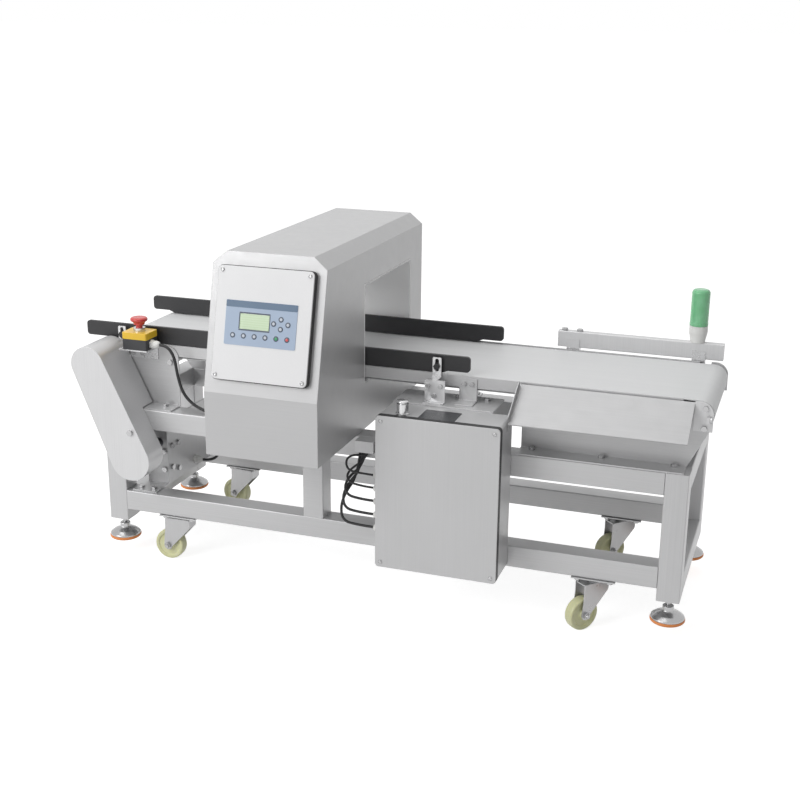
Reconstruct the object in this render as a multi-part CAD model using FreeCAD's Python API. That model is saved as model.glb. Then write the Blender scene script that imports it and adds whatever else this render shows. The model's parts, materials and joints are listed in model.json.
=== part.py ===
import FreeCAD, Part
import math
import os
from FreeCAD import Vector

# Conveyor metal detector: a search head with a tunnel stands on a tube frame, and a
# short belt conveyor runs through the tunnel. Millimetres. While the parts are built,
# x runs along the belt from the left end of the frame, y runs from the front face of
# the frame to the back, and z runs up from the floor. write_parts() then moves the
# machine so that its origin is on the floor, under the middle of its outer box.

# ---------------------------------------------------------------- driving sizes
tube = 50.0                 # square tube of the frame
tube_wall = 2.0
tube_corner = 3.0
frame_length = 1380.0
frame_depth = 410.0
leg_bottom_z = 92.0
long_rail_low_z = 120.0     # underside of the two low long rails
frame_top_z = 383.0         # top of the upper rails
mid_post_x = 515.0
sheet = 3.0                 # folded side plates and brackets
thin_sheet = 2.0            # covers
fit_gap = 0.3               # between pieces that move past each other
running_gap = 0.05          # radial, shaft in bearing

wheel_radius = 37.5
wheel_width = 24.0
caster_trail = 34.0
caster_plate_x = 96.0
caster_plate_y = 58.0
caster_bolt_x = 70.0        # spacing of the plate's bolts
caster_bolt_y = 36.0
caster_plate_t = 3.0
caster_race_radius = 22.0
caster_race_t = 6.0
caster_inset = 186.0        # from the frame's end to the swivel axis
fork_sheet = 2.5
axle_radius = 5.0

pad_radius = 38.0
pad_rubber_t = 8.0
pad_bottom_z = 38.0
foot_stem_radius = 5.0
foot_stem_length = 110.0
insert_t = 8.0

head_x0 = 391.0
head_width = 258.0
head_front_y = -227.0
head_back_y = 451.0
head_fold_z = 524.0         # where the upright lower face meets the leaning panel
head_top_z = 813.0
head_lean = 0.242           # depth lost per unit of height on the leaning panel
head_chamfer_x = 31.0
head_chamfer_z = 25.0
head_wall = 2.5
tunnel_width = 308.0
tunnel_bottom_z = 495.0
head_roof_gap = 100.0        # from the tunnel's roof to the top of the head
liner_t = 4.0
coil_section = 14.0
coil_gap = 10.0             # from the liner to the coils

door_width = 214.0
door_height = 236.0
door_corner = 10.0
door_depth = 9.0
gasket_t = 6.0
window_margin = 22.0        # from the door's edge to the opening behind it
screw_head_radius = 4.5
keypad_width = 160.0
keypad_height = 92.0
keypad_t = 1.0
key_t = 0.8
key_radius = 5.0

belt_width = 290.0
belt_t = 2.0
belt_centre_y = 205.0
roller_z = 497.5
roller_radius = 28.7
roller_shaft_radius = 10.0
idle_shaft_radius = 8.0
drive_x = 4.0
idle_x = 1384.0
bed_side_gap = 7.0          # from the belt's edge to the outside of the bed
bed_rise = 4.5              # the bed's sides stand this far above its top
bed_height = 22.0
bed_sheet = 3.0
return_bar_radius = 8.0
return_bar_x = (158.0, 1030.0)
return_strand_z = 499.0     # underside of the belt on its way back through the tunnel

drive_plate_x1 = 180.0
idle_plate_x0 = 1012.0
idle_plate_x1 = 1408.0
bearing_plate_t = 6.0
deflector_x0 = 1004.0
deflector_x1 = 1375.0
deflector_drop = 60.0
deflector_reach = 96.0
back_bar_height = 38.0
back_bar_depth = 20.0
back_bar_x0 = 1018.0
back_bar_x1 = 1400.0

guide_x0 = -67.0
guide_x1 = 890.0
guide_t = 8.0
guide_top_z = 572.0
guide_end_z = 537.0         # underside of the raised ends
guide_mid_z = 531.0         # underside beside the belt
guide_corner = 8.0
guide_bracket_x = (24.0, 808.0)
bracket_tab = 20.0
bracket_foot = 46.0
guide_slot = 26.0

guard_front_y = -67.0
guard_back_y = -2.0
guard_top_x, guard_top_z, guard_top_radius = 6.0, 499.0, 43.0
guard_low_radius = 51.0
motor_shaft_x, motor_shaft_z = 104.0, 277.5
motor_shaft_radius = 8.0
chain_pitch = 12.7
chain_roller = 8.5
roller_teeth = 15
motor_teeth = 19
sprocket_t = 7.0
sprocket_y = -46.0          # middle of both sprockets
chain_plate_t = 1.3
chain_plate_height = 11.0
chain_pin_radius = 2.2
motor_radius = 23.5

mount_x0 = 71.0
mount_x1 = 127.0
mount_front_y = 71.0

estop_x0 = 64.0
estop_size = 64.0
estop_front_y = -4.0
estop_depth = 54.0
estop_base_height = 25.0
estop_lid_height = 16.0
estop_head_radius = 20.0
estop_travel = 6.0

box_x0 = 729.0
box_width = 274.0
box_front_y = -102.0
box_depth = 90.0
box_bottom_z = 122.0
box_height = 349.0
box_corner = 8.0
box_cover_t = 4.0
box_gasket_t = 6.0
button_radius = 13.0
button_travel = 3.0
gland_radius = 9.0
gland_z = (189.0, 220.0, 252.0, 283.0, 313.0)
cable_radius = 3.5

lamp_x = 1339.0
lamp_radius = 21.0
lamp_base_height = 39.0
lamp_lens_height = 84.0

# ---------------------------------------------------------------- derived places
frame_right_x = frame_length
back_rail_y = frame_depth - tube
low_rail_top_z = long_rail_low_z + tube
upper_rail_z = frame_top_z - tube
belt_y0 = belt_centre_y - belt_width / 2
belt_y1 = belt_centre_y + belt_width / 2
bed_y0 = belt_y0 - bed_side_gap
bed_y1 = belt_y1 + bed_side_gap
side_y0 = bed_y0 - sheet            # outer face of the front side plates
side_y1 = bed_y1 + sheet
belt_radius = roller_radius + fit_gap + belt_t
belt_top_z = roller_z + belt_radius
bed_top_z = belt_top_z - belt_t
bed_low_z = bed_top_z - bed_height
tunnel_y0 = belt_centre_y - tunnel_width / 2
tunnel_y1 = belt_centre_y + tunnel_width / 2
tunnel_top_z = head_top_z - head_roof_gap
head_x1 = head_x0 + head_width
head_bottom_z = frame_top_z
box_body_y = box_front_y + box_cover_t + box_gasket_t
box_back_y = box_body_y + box_depth
box_top_z = box_bottom_z + box_height
box_x1 = box_x0 + box_width


# ---------------------------------------------------------------- shape helpers
def block(x0, y0, z0, x1, y1, z1):
    """A box between two corners."""
    return Part.makeBox(x1 - x0, y1 - y0, z1 - z0, Vector(x0, y0, z0))


def rod(radius, start, end):
    """A round bar between two points."""
    a, b = Vector(*start), Vector(*end)
    return Part.makeCylinder(radius, (b - a).Length, a, b - a)


def place(plane, u, v, w):
    """A point from two coordinates in a named plane and one across it."""
    return {"xy": Vector(u, v, w), "xz": Vector(u, w, v), "yz": Vector(w, u, v)}[plane]


def wrapped(circles, plane, at):
    """The closed line wrapped round circles (u, v, radius) taken counter-clockwise.

    A negative radius is passed on its other side, and a zero radius is a corner."""
    ends = []
    count = len(circles)
    for i in range(count):
        (u1, v1, r1), (u2, v2, r2) = circles[i], circles[(i + 1) % count]
        reach, lean = math.hypot(u2 - u1, v2 - v1), math.atan2(v2 - v1, u2 - u1)
        side = lean + math.acos((r2 - r1) / reach)
        nu, nv = math.cos(side), math.sin(side)
        ends.append(((u1 - r1 * nu, v1 - r1 * nv), (u2 - r2 * nu, v2 - r2 * nv)))
    edges = []
    for i in range(count):
        start, end = ends[i]
        edges.append(Part.LineSegment(place(plane, *start, at), place(plane, *end, at)).toShape())
        u, v, r = circles[(i + 1) % count]
        leave = ends[(i + 1) % count][0]
        if abs(r) > 1e-6:
            a0 = math.atan2(end[1] - v, end[0] - u)
            a1 = math.atan2(leave[1] - v, leave[0] - u)
            turn = (a1 - a0) % (2 * math.pi) if r > 0 else -((a0 - a1) % (2 * math.pi))
            if abs(turn) > 1e-6:
                mid = a0 + turn / 2
                top = (u + abs(r) * math.cos(mid), v + abs(r) * math.sin(mid))
                arc = Part.Arc(place(plane, *end, at), place(plane, *top, at), place(plane, *leave, at))
                edges.append(arc.toShape())
    return Part.Wire(edges)


def slab(circles, plane, low, high, holes=()):
    """A plate with a wrapped outline, between two heights across its plane."""
    face = Part.Face(wrapped(circles, plane, low))
    solid = face.extrude(place(plane, 0, 0, high - low))
    for (u, v, r) in holes:
        solid = solid.cut(rod(r, place(plane, u, v, low - 1), place(plane, u, v, high + 1)))
    return solid


def corners(u0, v0, u1, v1, r=0.0):
    """The four corner circles of a rectangle."""
    return [(u0 + r, v0 + r, r), (u1 - r, v0 + r, r), (u1 - r, v1 - r, r), (u0 + r, v1 - r, r)]


def grown(circles, by):
    """The same circles with the wrapped line moved outwards."""
    return [(u, v, r + by) for (u, v, r) in circles]


def turned(profile, base, axis=Vector(0, 0, 1)):
    """A solid of revolution from (radius, height) corners, stood on a point along an axis."""
    points = [Vector(r, 0, h) for (r, h) in profile]
    face = Part.Face(Part.makePolygon(points + points[:1]))
    solid = face.revolve(Vector(0, 0, 0), Vector(0, 0, 1), 360)
    solid.Placement = FreeCAD.Placement(Vector(*base), FreeCAD.Rotation(Vector(0, 0, 1), axis))
    return solid


def regular(sides, across, height):
    """A regular prism standing on the ground plane."""
    ring = [Vector(across * math.cos(2 * math.pi * i / sides), across * math.sin(2 * math.pi * i / sides), 0)
            for i in range(sides)]
    return Part.Face(Part.makePolygon(ring + ring[:1])).extrude(Vector(0, 0, height))


def prism(sides, across, start, end):
    """A regular prism between two points."""
    a, b = Vector(*start), Vector(*end)
    solid = regular(sides, across, (b - a).Length)
    solid.Placement = FreeCAD.Placement(a, FreeCAD.Rotation(Vector(0, 0, 1), b - a))
    return solid


def hex_bolt(base, axis, size, grip):
    """A hexagon head on a surface, and a shank through what it holds."""
    head = regular(6, size * 0.95, size * 0.7)
    shank = regular(8, size * 0.5, grip)
    shank.translate(Vector(0, 0, -grip))
    bolt = head.fuse(shank).removeSplitter()
    bolt.Placement = FreeCAD.Placement(Vector(*base), FreeCAD.Rotation(Vector(0, 0, 1), axis))
    return bolt


def group(solids):
    """Separate solids that share one file."""
    return Part.makeCompound(solids)


parts = {}

# ---------------------------------------------------------------- bolts
loose_bolts = []


def drilled(shape, bolts):
    """Cuts the holes for bolts given as (base, axis, size, grip) and keeps the bolts."""
    for (base, axis, size, grip) in bolts:
        start, way = Vector(*base), Vector(*axis)
        end = start - way * (grip + 1)
        shape = shape.cut(prism(8, size / 2 + fit_gap, start + way, end))
        loose_bolts.append(hex_bolt(start, way, size, grip))
    return shape

# ---------------------------------------------------------------- frame
end_x = {"left": 0.0, "right": frame_length - tube}
side_y = {"front": 0.0, "back": back_rail_y}
corner_names = [(side, end) for side in side_y for end in end_x]


def square_tube(axis, low, high, u, v):
    """A square tube along an axis, from its lower corner in the plane across it."""
    plane = {"x": "yz", "y": "xz", "z": "xy"}[axis]
    outer = slab(corners(u, v, u + tube, v + tube, tube_corner), plane, low, high)
    inner = slab(corners(u + tube_wall, v + tube_wall, u + tube - tube_wall, v + tube - tube_wall),
                 plane, low - 1, high + 1)
    return outer.cut(inner)


def leg(side, end):
    """A leg, closed at its top by a welded cap."""
    x, y = end_x[end], side_y[side]
    body = square_tube("z", leg_bottom_z, frame_top_z - tube_wall, x, y)
    cap = slab(corners(x, y, x + tube, y + tube, tube_corner), "xy", frame_top_z - tube_wall, frame_top_z)
    return body.fuse(cap).removeSplitter()


def make_frame():
    """Four legs, four long rails, four end rails and the short front post."""
    parts["frame_legs"] = group([leg(side, end) for side, end in corner_names])
    rails = []
    for y in side_y.values():
        for z in (long_rail_low_z, upper_rail_z):
            rails.append(square_tube("x", tube, frame_length - tube, y, z))
    for x in end_x.values():
        for z in (leg_bottom_z, upper_rail_z):
            rails.append(square_tube("y", tube, back_rail_y, x, z))
    rails.append(square_tube("z", low_rail_top_z, upper_rail_z, mid_post_x, 0.0))
    parts["frame_rails"] = group(rails)


# ---------------------------------------------------------------- levelling feet
nut_height = 8.0
nut_radius = 11.0


def make_feet():
    """A threaded insert and a lock nut in each leg, and a foot on a stem."""
    fixed = []
    for side, end in corner_names:
        x, y = end_x[end] + tube / 2, side_y[side] + tube / 2
        half = tube / 2 - tube_wall
        hole = foot_stem_radius + fit_gap
        insert = block(x - half, y - half, leg_bottom_z, x + half, y + half, leg_bottom_z + insert_t)
        fixed.append(insert.cut(rod(hole, (x, y, leg_bottom_z - 1), (x, y, leg_bottom_z + insert_t + 1))))
        ring = [Vector(x + nut_radius * math.cos(a * math.pi / 3),
                       y + nut_radius * math.sin(a * math.pi / 3), leg_bottom_z - nut_height)
                for a in range(6)]
        nut = Part.Face(Part.makePolygon(ring + ring[:1])).extrude(Vector(0, 0, nut_height))
        fixed.append(nut.cut(rod(hole, (x, y, leg_bottom_z - nut_height - 1), (x, y, leg_bottom_z + 1))))
        bell_z = pad_bottom_z + pad_rubber_t
        bell = turned([(0, 0), (pad_radius - 1, 0), (pad_radius - 2, 5), (13, 17), (11, 25), (0, 25)],
                      (x, y, bell_z))
        bell = bell.fuse(prism(12, foot_stem_radius, (x, y, bell_z + 25), (x, y, bell_z + foot_stem_length)))
        rubber = turned([(0, 0), (pad_radius - 3, 0), (pad_radius, 3), (pad_radius, pad_rubber_t),
                         (0, pad_rubber_t)], (x, y, pad_bottom_z))
        parts["levelling_foot_%s_%s" % (side, end)] = group([bell, rubber])
    parts["foot_inserts"] = group(fixed)


# ---------------------------------------------------------------- casters
caster_turn = {("front", "left"): 180.0, ("front", "right"): 230.0,
               ("back", "left"): 172.0, ("back", "right"): 226.0}


def make_casters():
    """Swivel casters bolted under the low long rails."""
    plates = []
    plate_z = long_rail_low_z - caster_plate_t
    race_z = plate_z - caster_race_t
    fork_top = race_z - fit_gap
    half_gap = wheel_width / 2 + 2.5
    bolt_dx, bolt_dy = caster_bolt_x / 2, caster_bolt_y / 2
    for side, end in corner_names:
        x = caster_inset if end == "left" else frame_length - caster_inset
        y = side_y[side] + tube / 2
        spots = [(x + sx * bolt_dx, y + sy * bolt_dy) for sx in (-1, 1) for sy in (-1, 1)]
        plate = block(x - caster_plate_x / 2, y - caster_plate_y / 2, plate_z,
                      x + caster_plate_x / 2, y + caster_plate_y / 2, long_rail_low_z)
        plate = drilled(plate, [((u, v, plate_z), (0, 0, -1), 8.0, caster_plate_t) for (u, v) in spots])
        race = turned([(0, 0), (caster_race_radius - 4, 0), (caster_race_radius, caster_race_t),
                       (0, caster_race_t)], (x, y, race_z))
        plates.append(plate.fuse(race))

        # the fork is built trailing towards -x, then turned about its swivel axis
        axle_x, axle_z = x - caster_trail, wheel_radius
        shoulder_z = fork_top - 12.0
        cheek = [(axle_x, axle_z, 10.0), (x + 17, shoulder_z, 0), (x + 17, fork_top - 1, 0),
                 (x - 22, fork_top - 1, 0), (x - 26, shoulder_z - 12, 0)]
        fork = []
        for s in (-1, 1):
            y0 = y + s * (half_gap + fork_sheet / 2) - fork_sheet / 2
            fork.append(slab(cheek, "xz", y0, y0 + fork_sheet,
                             [(axle_x, axle_z, axle_radius + running_gap)]))
        crown = block(x - 22, y - half_gap, fork_top - 4, x + 17, y + half_gap, fork_top - 1)
        disc = rod(half_gap - 1, (x, y, fork_top - 2), (x, y, fork_top))
        fork = fork[0].fuse([fork[1], crown, disc])
        reach = half_gap + fork_sheet
        axle = rod(axle_radius, (axle_x, y - reach, axle_z), (axle_x, y + reach, axle_z))
        heads = [hex_bolt((axle_x, y + s * reach, axle_z), Vector(0, s, 0), 8.0, 1.0) for s in (-1, 1)]
        axle = axle.fuse(heads).removeSplitter()
        rim = wheel_width / 2
        hub = half_gap - fit_gap
        bore = axle_radius + running_gap
        wheel = turned([(bore, -hub), (11, -hub), (11, -rim + 2), (wheel_radius - 3, -rim),
                        (wheel_radius, -rim + 3), (wheel_radius, rim - 3), (wheel_radius - 3, rim),
                        (11, rim - 2), (11, hub), (bore, hub)], (axle_x, y, axle_z), Vector(0, 1, 0))
        name = "%s_%s" % (side, end)
        turn = caster_turn[(side, end)] - 180.0
        for key, shape in (("caster_fork_", group([fork, axle])), ("caster_wheel_", wheel)):
            shape.rotate(Vector(x, y, 0), Vector(0, 0, 1), turn)
            parts[key + name] = shape
    parts["caster_plates"] = group(plates)


# ---------------------------------------------------------------- search head
panel_z0, panel_y0 = head_fold_z, head_front_y
panel_slope = math.hypot(1.0, head_lean)
panel_height = (head_top_z - head_fold_z) * panel_slope


def on_panel(solid):
    """Moves a solid from the leaning panel's own frame: u along x, v up the panel, w out of it."""
    tilt = FreeCAD.Rotation(Vector(1, 0, 0), math.degrees(math.atan2(1.0, head_lean)))
    to_panel = FreeCAD.Placement(Vector(head_x0, panel_y0, panel_z0), tilt)
    solid.Placement = to_panel.multiply(solid.Placement)
    return solid


def head_form(inset):
    """The head's outer form, or the same form with every face moved inwards."""
    front = head_front_y + inset
    lean_shift = inset * panel_slope
    fold = head_fold_z + (inset - lean_shift) / head_lean
    top = head_top_z - inset
    top_y = head_front_y + head_lean * (top - head_fold_z) + lean_shift
    back = head_back_y - inset
    low = head_bottom_z + inset
    x0, x1 = head_x0 + inset, head_x1 - inset
    side = slab([(front, low, 0), (back, low, 0), (back, top, 0), (top_y, top, 0), (front, fold, 0)],
                "yz", x0, x1)
    slant = math.hypot(head_chamfer_x, head_chamfer_z)
    shoulder = head_top_z - head_chamfer_z - inset * (slant - head_chamfer_z) / head_chamfer_x
    cut_x = head_chamfer_x + inset * (slant - head_chamfer_x) / head_chamfer_z
    cross = slab([(x0, low, 0), (x1, low, 0), (x1, shoulder, 0), (head_x1 - cut_x, top, 0),
                  (head_x0 + cut_x, top, 0), (x0, shoulder, 0)], "xz", front - 1, back + 1)
    return side.common(cross)


def tunnel_block(out, x_out=0.0):
    """The tunnel's space, grown by a wall all round and lengthened at both ends."""
    return block(head_x0 - x_out, tunnel_y0 - out, tunnel_bottom_z - out,
                 head_x1 + x_out, tunnel_y1 + out, tunnel_top_z + out)


door_u0 = (head_width - door_width) / 2
door_v0 = (panel_height - door_height) / 2
head_gland_spot = (head_x0, head_front_y + 110.0, head_bottom_z + 60.0)


def make_head():
    """Folded housing with its tunnel, liner, coils, circuit board and screwed door."""
    shell = head_form(0).cut(head_form(head_wall).cut(tunnel_block(liner_t + head_wall)))
    shell = shell.cut(tunnel_block(liner_t, 1.0))
    window = slab(corners(door_u0 + window_margin, door_v0 + window_margin,
                          door_u0 + door_width - window_margin,
                          door_v0 + door_height - window_margin, 6.0), "xy", -20, 5)
    shell = shell.cut(on_panel(window))
    parts["detector_housing"] = shell
    parts["tunnel_liner"] = tunnel_block(liner_t).cut(tunnel_block(0, 1.0))

    coils = []
    for share in (0.2, 0.5, 0.8):
        x = head_x0 + share * head_width
        near = liner_t + head_wall + coil_gap
        ring = tunnel_block(near + coil_section).cut(tunnel_block(near, 1.0))
        window = block(x - coil_section / 2, head_front_y, head_bottom_z,
                       x + coil_section / 2, head_back_y, head_top_z)
        feet = [block(x - coil_section / 2, y - 15, head_bottom_z + head_wall,
                      x + coil_section / 2, y + 15, tunnel_bottom_z - near - coil_section)
                for y in (tunnel_y0 + 30, tunnel_y1 - 30)]
        coils.append(ring.common(window).fuse(feet).removeSplitter())
    parts["search_coils"] = group(coils)

    board = block(head_x0 + 45, head_front_y + 95, head_bottom_z + head_wall + 12,
                  head_x1 - 45, head_front_y + 97, head_fold_z + 60)
    foot = block(head_x0 + 45, head_front_y + 91, head_bottom_z + head_wall,
                 head_x1 - 45, head_front_y + 101, head_bottom_z + head_wall + 12)
    chips = [block(head_x0 + 60 + 45 * i, head_front_y + 88, head_bottom_z + 70,
                   head_x0 + 88 + 45 * i, head_front_y + 95, head_bottom_z + 100) for i in range(3)]
    parts["signal_board"] = board.fuse([foot] + chips).removeSplitter()

    u1, v1 = door_u0 + door_width, door_v0 + door_height
    outer = corners(door_u0, door_v0, u1, v1, door_corner)
    seal = corners(door_u0 + 0.5, door_v0 + 0.5, u1 - 0.5, v1 - 0.5, door_corner)
    opening = corners(door_u0 + 16, door_v0 + 16, u1 - 16, v1 - 16, 4.0)
    gasket = slab(seal, "xy", 0, gasket_t).cut(slab(opening, "xy", -1, gasket_t + 1))
    door = slab(outer, "xy", gasket_t, gasket_t + door_depth)
    pocket = slab(opening, "xy", gasket_t - 1, gasket_t + door_depth - thin_sheet)
    parts["electronics_door"] = on_panel(door.cut(pocket))
    face = gasket_t + door_depth
    screws = [prism(8, screw_head_radius, (door_u0 + u, door_v0 + v, face),
                    (door_u0 + u, door_v0 + v, face + 3.4))
              for u in (9.0, door_width - 9.0) for v in (9.0, door_height - 9.0)]
    screws = [on_panel(s) for s in screws]

    pad_u0 = door_u0 + (door_width - keypad_width) / 2 - 3.0
    pad_v0 = door_v0 + 74.0
    lcd = corners(pad_u0 + 33, pad_v0 + 34, pad_u0 + 99, pad_v0 + 66, 1.0)
    pad = slab(corners(pad_u0, pad_v0, pad_u0 + keypad_width, pad_v0 + keypad_height, 3.0),
               "xy", face, face + keypad_t)
    parts["keypad_panel"] = on_panel(pad.cut(slab(lcd, "xy", face - 1, face + keypad_t + 1)))
    parts["display_window"] = on_panel(slab(lcd, "xy", face, face + keypad_t * 0.7))
    spots = [(pad_u0 + 19 + i * 24.4, pad_v0 + 20) for i in range(6)]
    spots += [(pad_u0 + 125 + du, pad_v0 + 50 + dv) for du, dv in ((0, 10), (-16, 0), (16, 0), (0, -10))]
    top = face + keypad_t
    keys = [prism(8, key_radius, (u, v, top), (u, v, top + key_t)) for (u, v) in spots]
    parts["keypad_keys"] = group([on_panel(k) for k in keys])
    return on_panel(gasket), screws


# ---------------------------------------------------------------- conveyor
bed_x0 = drive_x + roller_radius + 5.0
bed_x1 = idle_x - roller_radius - 5.0
return_bar_z = return_strand_z - return_bar_radius
roller_y0 = belt_y0 - 2.0
roller_y1 = belt_y1 + 2.0
drive_shaft_back_y = side_y1 + 12.0


def belt_line():
    """The inner line of the belt: round both rollers, lifted over both return bars."""
    over = -(return_bar_radius + belt_t)
    bars = [(x, return_bar_z, over) for x in return_bar_x]
    ends = roller_radius + fit_gap
    return [(drive_x, roller_z, ends)] + bars + [(idle_x, roller_z, ends)]


def roller(x, shaft_radius, shaft_y0, shaft_y1, flat):
    """A plain roller on its shaft, with a small grub screw that shows how far it has turned."""
    body = rod(roller_radius, (x, roller_y0, roller_z), (x, roller_y1, roller_z))
    shaft = rod(shaft_radius, (x, shaft_y0, roller_z), (x, shaft_y1, roller_z))
    key = block(x - 2, roller_y1, roller_z + shaft_radius - 1, x + 2, roller_y1 + 3,
                roller_z + shaft_radius + flat)
    return body.fuse([shaft, key]).removeSplitter()


def make_conveyor():
    """Belt, slider bed, return bars and the two rollers."""
    inner = slab(belt_line(), "xz", belt_y0 - 1, belt_y1 + 1)
    parts["conveyor_belt"] = slab(grown(belt_line(), belt_t), "xz", belt_y0, belt_y1).cut(inner)
    top = block(bed_x0, bed_y0, bed_top_z - bed_sheet, bed_x1, bed_y1, bed_top_z)
    sides = [block(bed_x0, y, bed_low_z, bed_x1, y + bed_sheet, bed_top_z + bed_rise)
             for y in (bed_y0, bed_y1 - bed_sheet)]
    bars = [rod(return_bar_radius, (x, side_y0 + sheet, return_bar_z), (x, side_y1 - sheet, return_bar_z))
            for x in return_bar_x]
    parts["slider_bed"] = group([top.fuse(sides).removeSplitter()] + bars)
    parts["drive_roller"] = roller(drive_x, roller_shaft_radius, sprocket_y - 12,
                                   drive_shaft_back_y, 4.0)
    parts["idle_roller"] = roller(idle_x, idle_shaft_radius, side_y0 - 4.0, side_y1 + 4.0, 4.0)


def side_plate(outline, x0, x1, flip, holes):
    """A side plate standing on an upper rail by the flange folded out at its foot."""
    y = side_y1 - sheet if flip else side_y0
    plate = slab(outline, "xz", y, y + sheet, holes)
    flange_y = (y, frame_depth - 2) if flip else (2, y + sheet)
    return plate.fuse(block(x0, flange_y[0], frame_top_z, x1, flange_y[1], frame_top_z + sheet))


def make_side_plates():
    """The plates that carry the rollers at both ends of the belt."""
    top_r = 28.0
    drive_line = [(49, frame_top_z + 3, 3), (drive_plate_x1, frame_top_z, 0),
                  (drive_plate_x1 - top_r, belt_top_z - top_r, top_r), (drive_x, roller_z, 31.0)]
    idle_line = [(idle_plate_x0, frame_top_z, 0), (idle_plate_x1 - 41, frame_top_z, 0),
                 (idle_plate_x1, 467, 0), (idle_plate_x1, 515, 0), (idle_plate_x0, 515, 0)]
    drive_plates, idle_plates, bearings, end_plates = [], [], [], []
    for flip in (False, True):
        out = 1 if flip else -1
        face_y = side_y1 if flip else side_y0
        rail_y = frame_depth - 12 if flip else 12.0
        hole = [(drive_x, roller_z, roller_shaft_radius + 1)]
        plate = side_plate(drive_line, 49, drive_plate_x1, flip, hole)
        bolts = [((150, rail_y + out * -22, frame_top_z + sheet), (0, 0, 1), 8.0, sheet),
                 ((return_bar_x[0], face_y, return_bar_z), (0, out, 0), 8.0, sheet)]
        if flip:
            bolts.append(((70, face_y, bed_low_z + 6), (0, out, 0), 8.0, sheet))
        drive_plates.append(drilled(plate, bolts))
        hole = [(idle_x, roller_z, idle_shaft_radius + 1)]
        plate = side_plate(idle_line, idle_plate_x0, idle_plate_x1 - 41, flip, hole)
        bolts = [((x, rail_y + out * -26, frame_top_z + sheet), (0, 0, 1), 8.0, sheet)
                 for x in (1039.0, 1190.0, 1343.0)]
        bolts.append(((return_bar_x[1], face_y, return_bar_z), (0, out, 0), 8.0, sheet))
        idle_plates.append(drilled(plate, bolts))

        y0, y1 = sorted((face_y, face_y + out * 10.0))
        bearing = rod(19.0, (drive_x, y0, roller_z), (drive_x, y1, roller_z))
        bore = rod(roller_shaft_radius + running_gap, (drive_x, y0 - 1, roller_z), (drive_x, y1 + 1, roller_z))
        bearings.append(bearing.cut(bore))
        y0, y1 = sorted((face_y, face_y + out * bearing_plate_t))
        outline = [(idle_plate_x1 - 33, 467, 0), (idle_plate_x1 + 6, 467, 0),
                   (idle_plate_x1 - 22, 502, 28), (idle_plate_x1 - 31, 528, 2)]
        end_plate = slab(outline, "xz", y0, y1)
        bore = rod(idle_shaft_radius + running_gap, (idle_x, face_y - out, roller_z),
                   (idle_x, face_y + out * 4.5, roller_z))
        lug_y = (face_y + out * bearing_plate_t, face_y + out * (bearing_plate_t + 12))
        lug = block(idle_plate_x1 - 6, min(lug_y), 488, idle_plate_x1, max(lug_y), 501)
        end_plate = end_plate.cut(bore).fuse(lug)
        screw = [((idle_plate_x1, sum(lug_y) / 2, 494.5), (1, 0, 0), 6.0, 6.0)]
        outer_y = face_y + out * bearing_plate_t
        screw += [((idle_plate_x1 - 11, outer_y, z), (0, out, 0), 7.0, bearing_plate_t)
                  for z in (474.0, 517.0)]
        end_plates.append(drilled(end_plate, screw))
    parts["drive_side_plates"] = group(drive_plates)
    parts["idle_side_plates"] = group(idle_plates)
    parts["roller_bearings"] = group(bearings + end_plates)


def make_deflector():
    """The sloping sheet beside the belt's right end, with its folded left edge."""
    y0, z0 = side_y0 - thin_sheet, belt_top_z - 2.0
    run, drop = deflector_reach, deflector_drop
    n = math.hypot(run, drop)
    down = thin_sheet
    profile = [(side_y0, z0 - 26, 0), (side_y0, z0, 0), (y0, z0 + 1, 0), (y0 - run, z0 - drop, 0),
               (y0 - run, z0 - drop - down * n / run, 0), (y0, z0 - down * n / run, 0), (y0, z0 - 26, 0)]
    plate = slab(list(reversed(profile)), "yz", deflector_x0, deflector_x1)
    lip = slab([(y0 - run, z0 - drop - 18, 0), (y0, z0 - 22, 0), (y0, z0 - 1, 0), (y0 - run, z0 - drop - 1, 0)],
               "yz", deflector_x0, deflector_x0 + thin_sheet)
    bolts = [((x, y0, z0 - 19), (0, -1, 0), 6.0, thin_sheet) for x in (1100.0, 1280.0)]
    parts["deflector_sheet"] = drilled(plate.fuse(lip), bolts)


# ---------------------------------------------------------------- guides
guide_y = {"front": belt_y0 - 3.0, "back": belt_y1 + 3.0 - guide_t}
guide_bolt_z = 548.0
tab_gap = 0.3


def guide_strip(side, x0):
    """A guide strip with the spacers and bolts that hold it to its slotted tabs."""
    r = guide_corner
    low, mid, top = guide_end_z, guide_mid_z, guide_top_z
    line = [(x0 + r, low + r, r), (-5, low, 0), (10, mid, 0), (825, mid, 0), (840, low, 0),
            (guide_x1 - r, low + r, r), (guide_x1 - r, top - r, r), (x0 + r, top - r, r)]
    y = guide_y[side]
    strip = slab(line, "xz", y, y + guide_t)
    out = -1 if side == "front" else 1
    near = y if side == "front" else y + guide_t
    tab_in = side_y0 if side == "front" else side_y1
    head = tab_in + out * (sheet + tab_gap)
    fixings = []
    for x in guide_bracket_x:
        at = (x + bracket_tab / 2, guide_bolt_z)
        spacer = rod(7.0, (at[0], near, at[1]), (at[0], tab_in - out * tab_gap, at[1]))
        bolt = hex_bolt((at[0], head, at[1]), Vector(0, out, 0), 8.0, sheet + 2 * tab_gap)
        fixings.append(spacer.fuse(bolt))
    return group([strip] + fixings)


def slotted_tab(x, out, low, high):
    """An upright tab with a slot for a guide's bolt."""
    y0, y1 = sorted((side_y0, side_y0 - sheet)) if out < 0 else (side_y1, side_y1 + sheet)
    mid = x + bracket_tab / 2
    tab = slab(corners(x, low, x + bracket_tab, high, 3.0), "xz", y0, y1)
    half = 4.0 + fit_gap
    slot = slab([(mid, guide_bolt_z - 7, half), (mid, guide_bolt_z + 13, half)], "xz", y0 - 1, y1 + 1)
    return tab.cut(slot)


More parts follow.
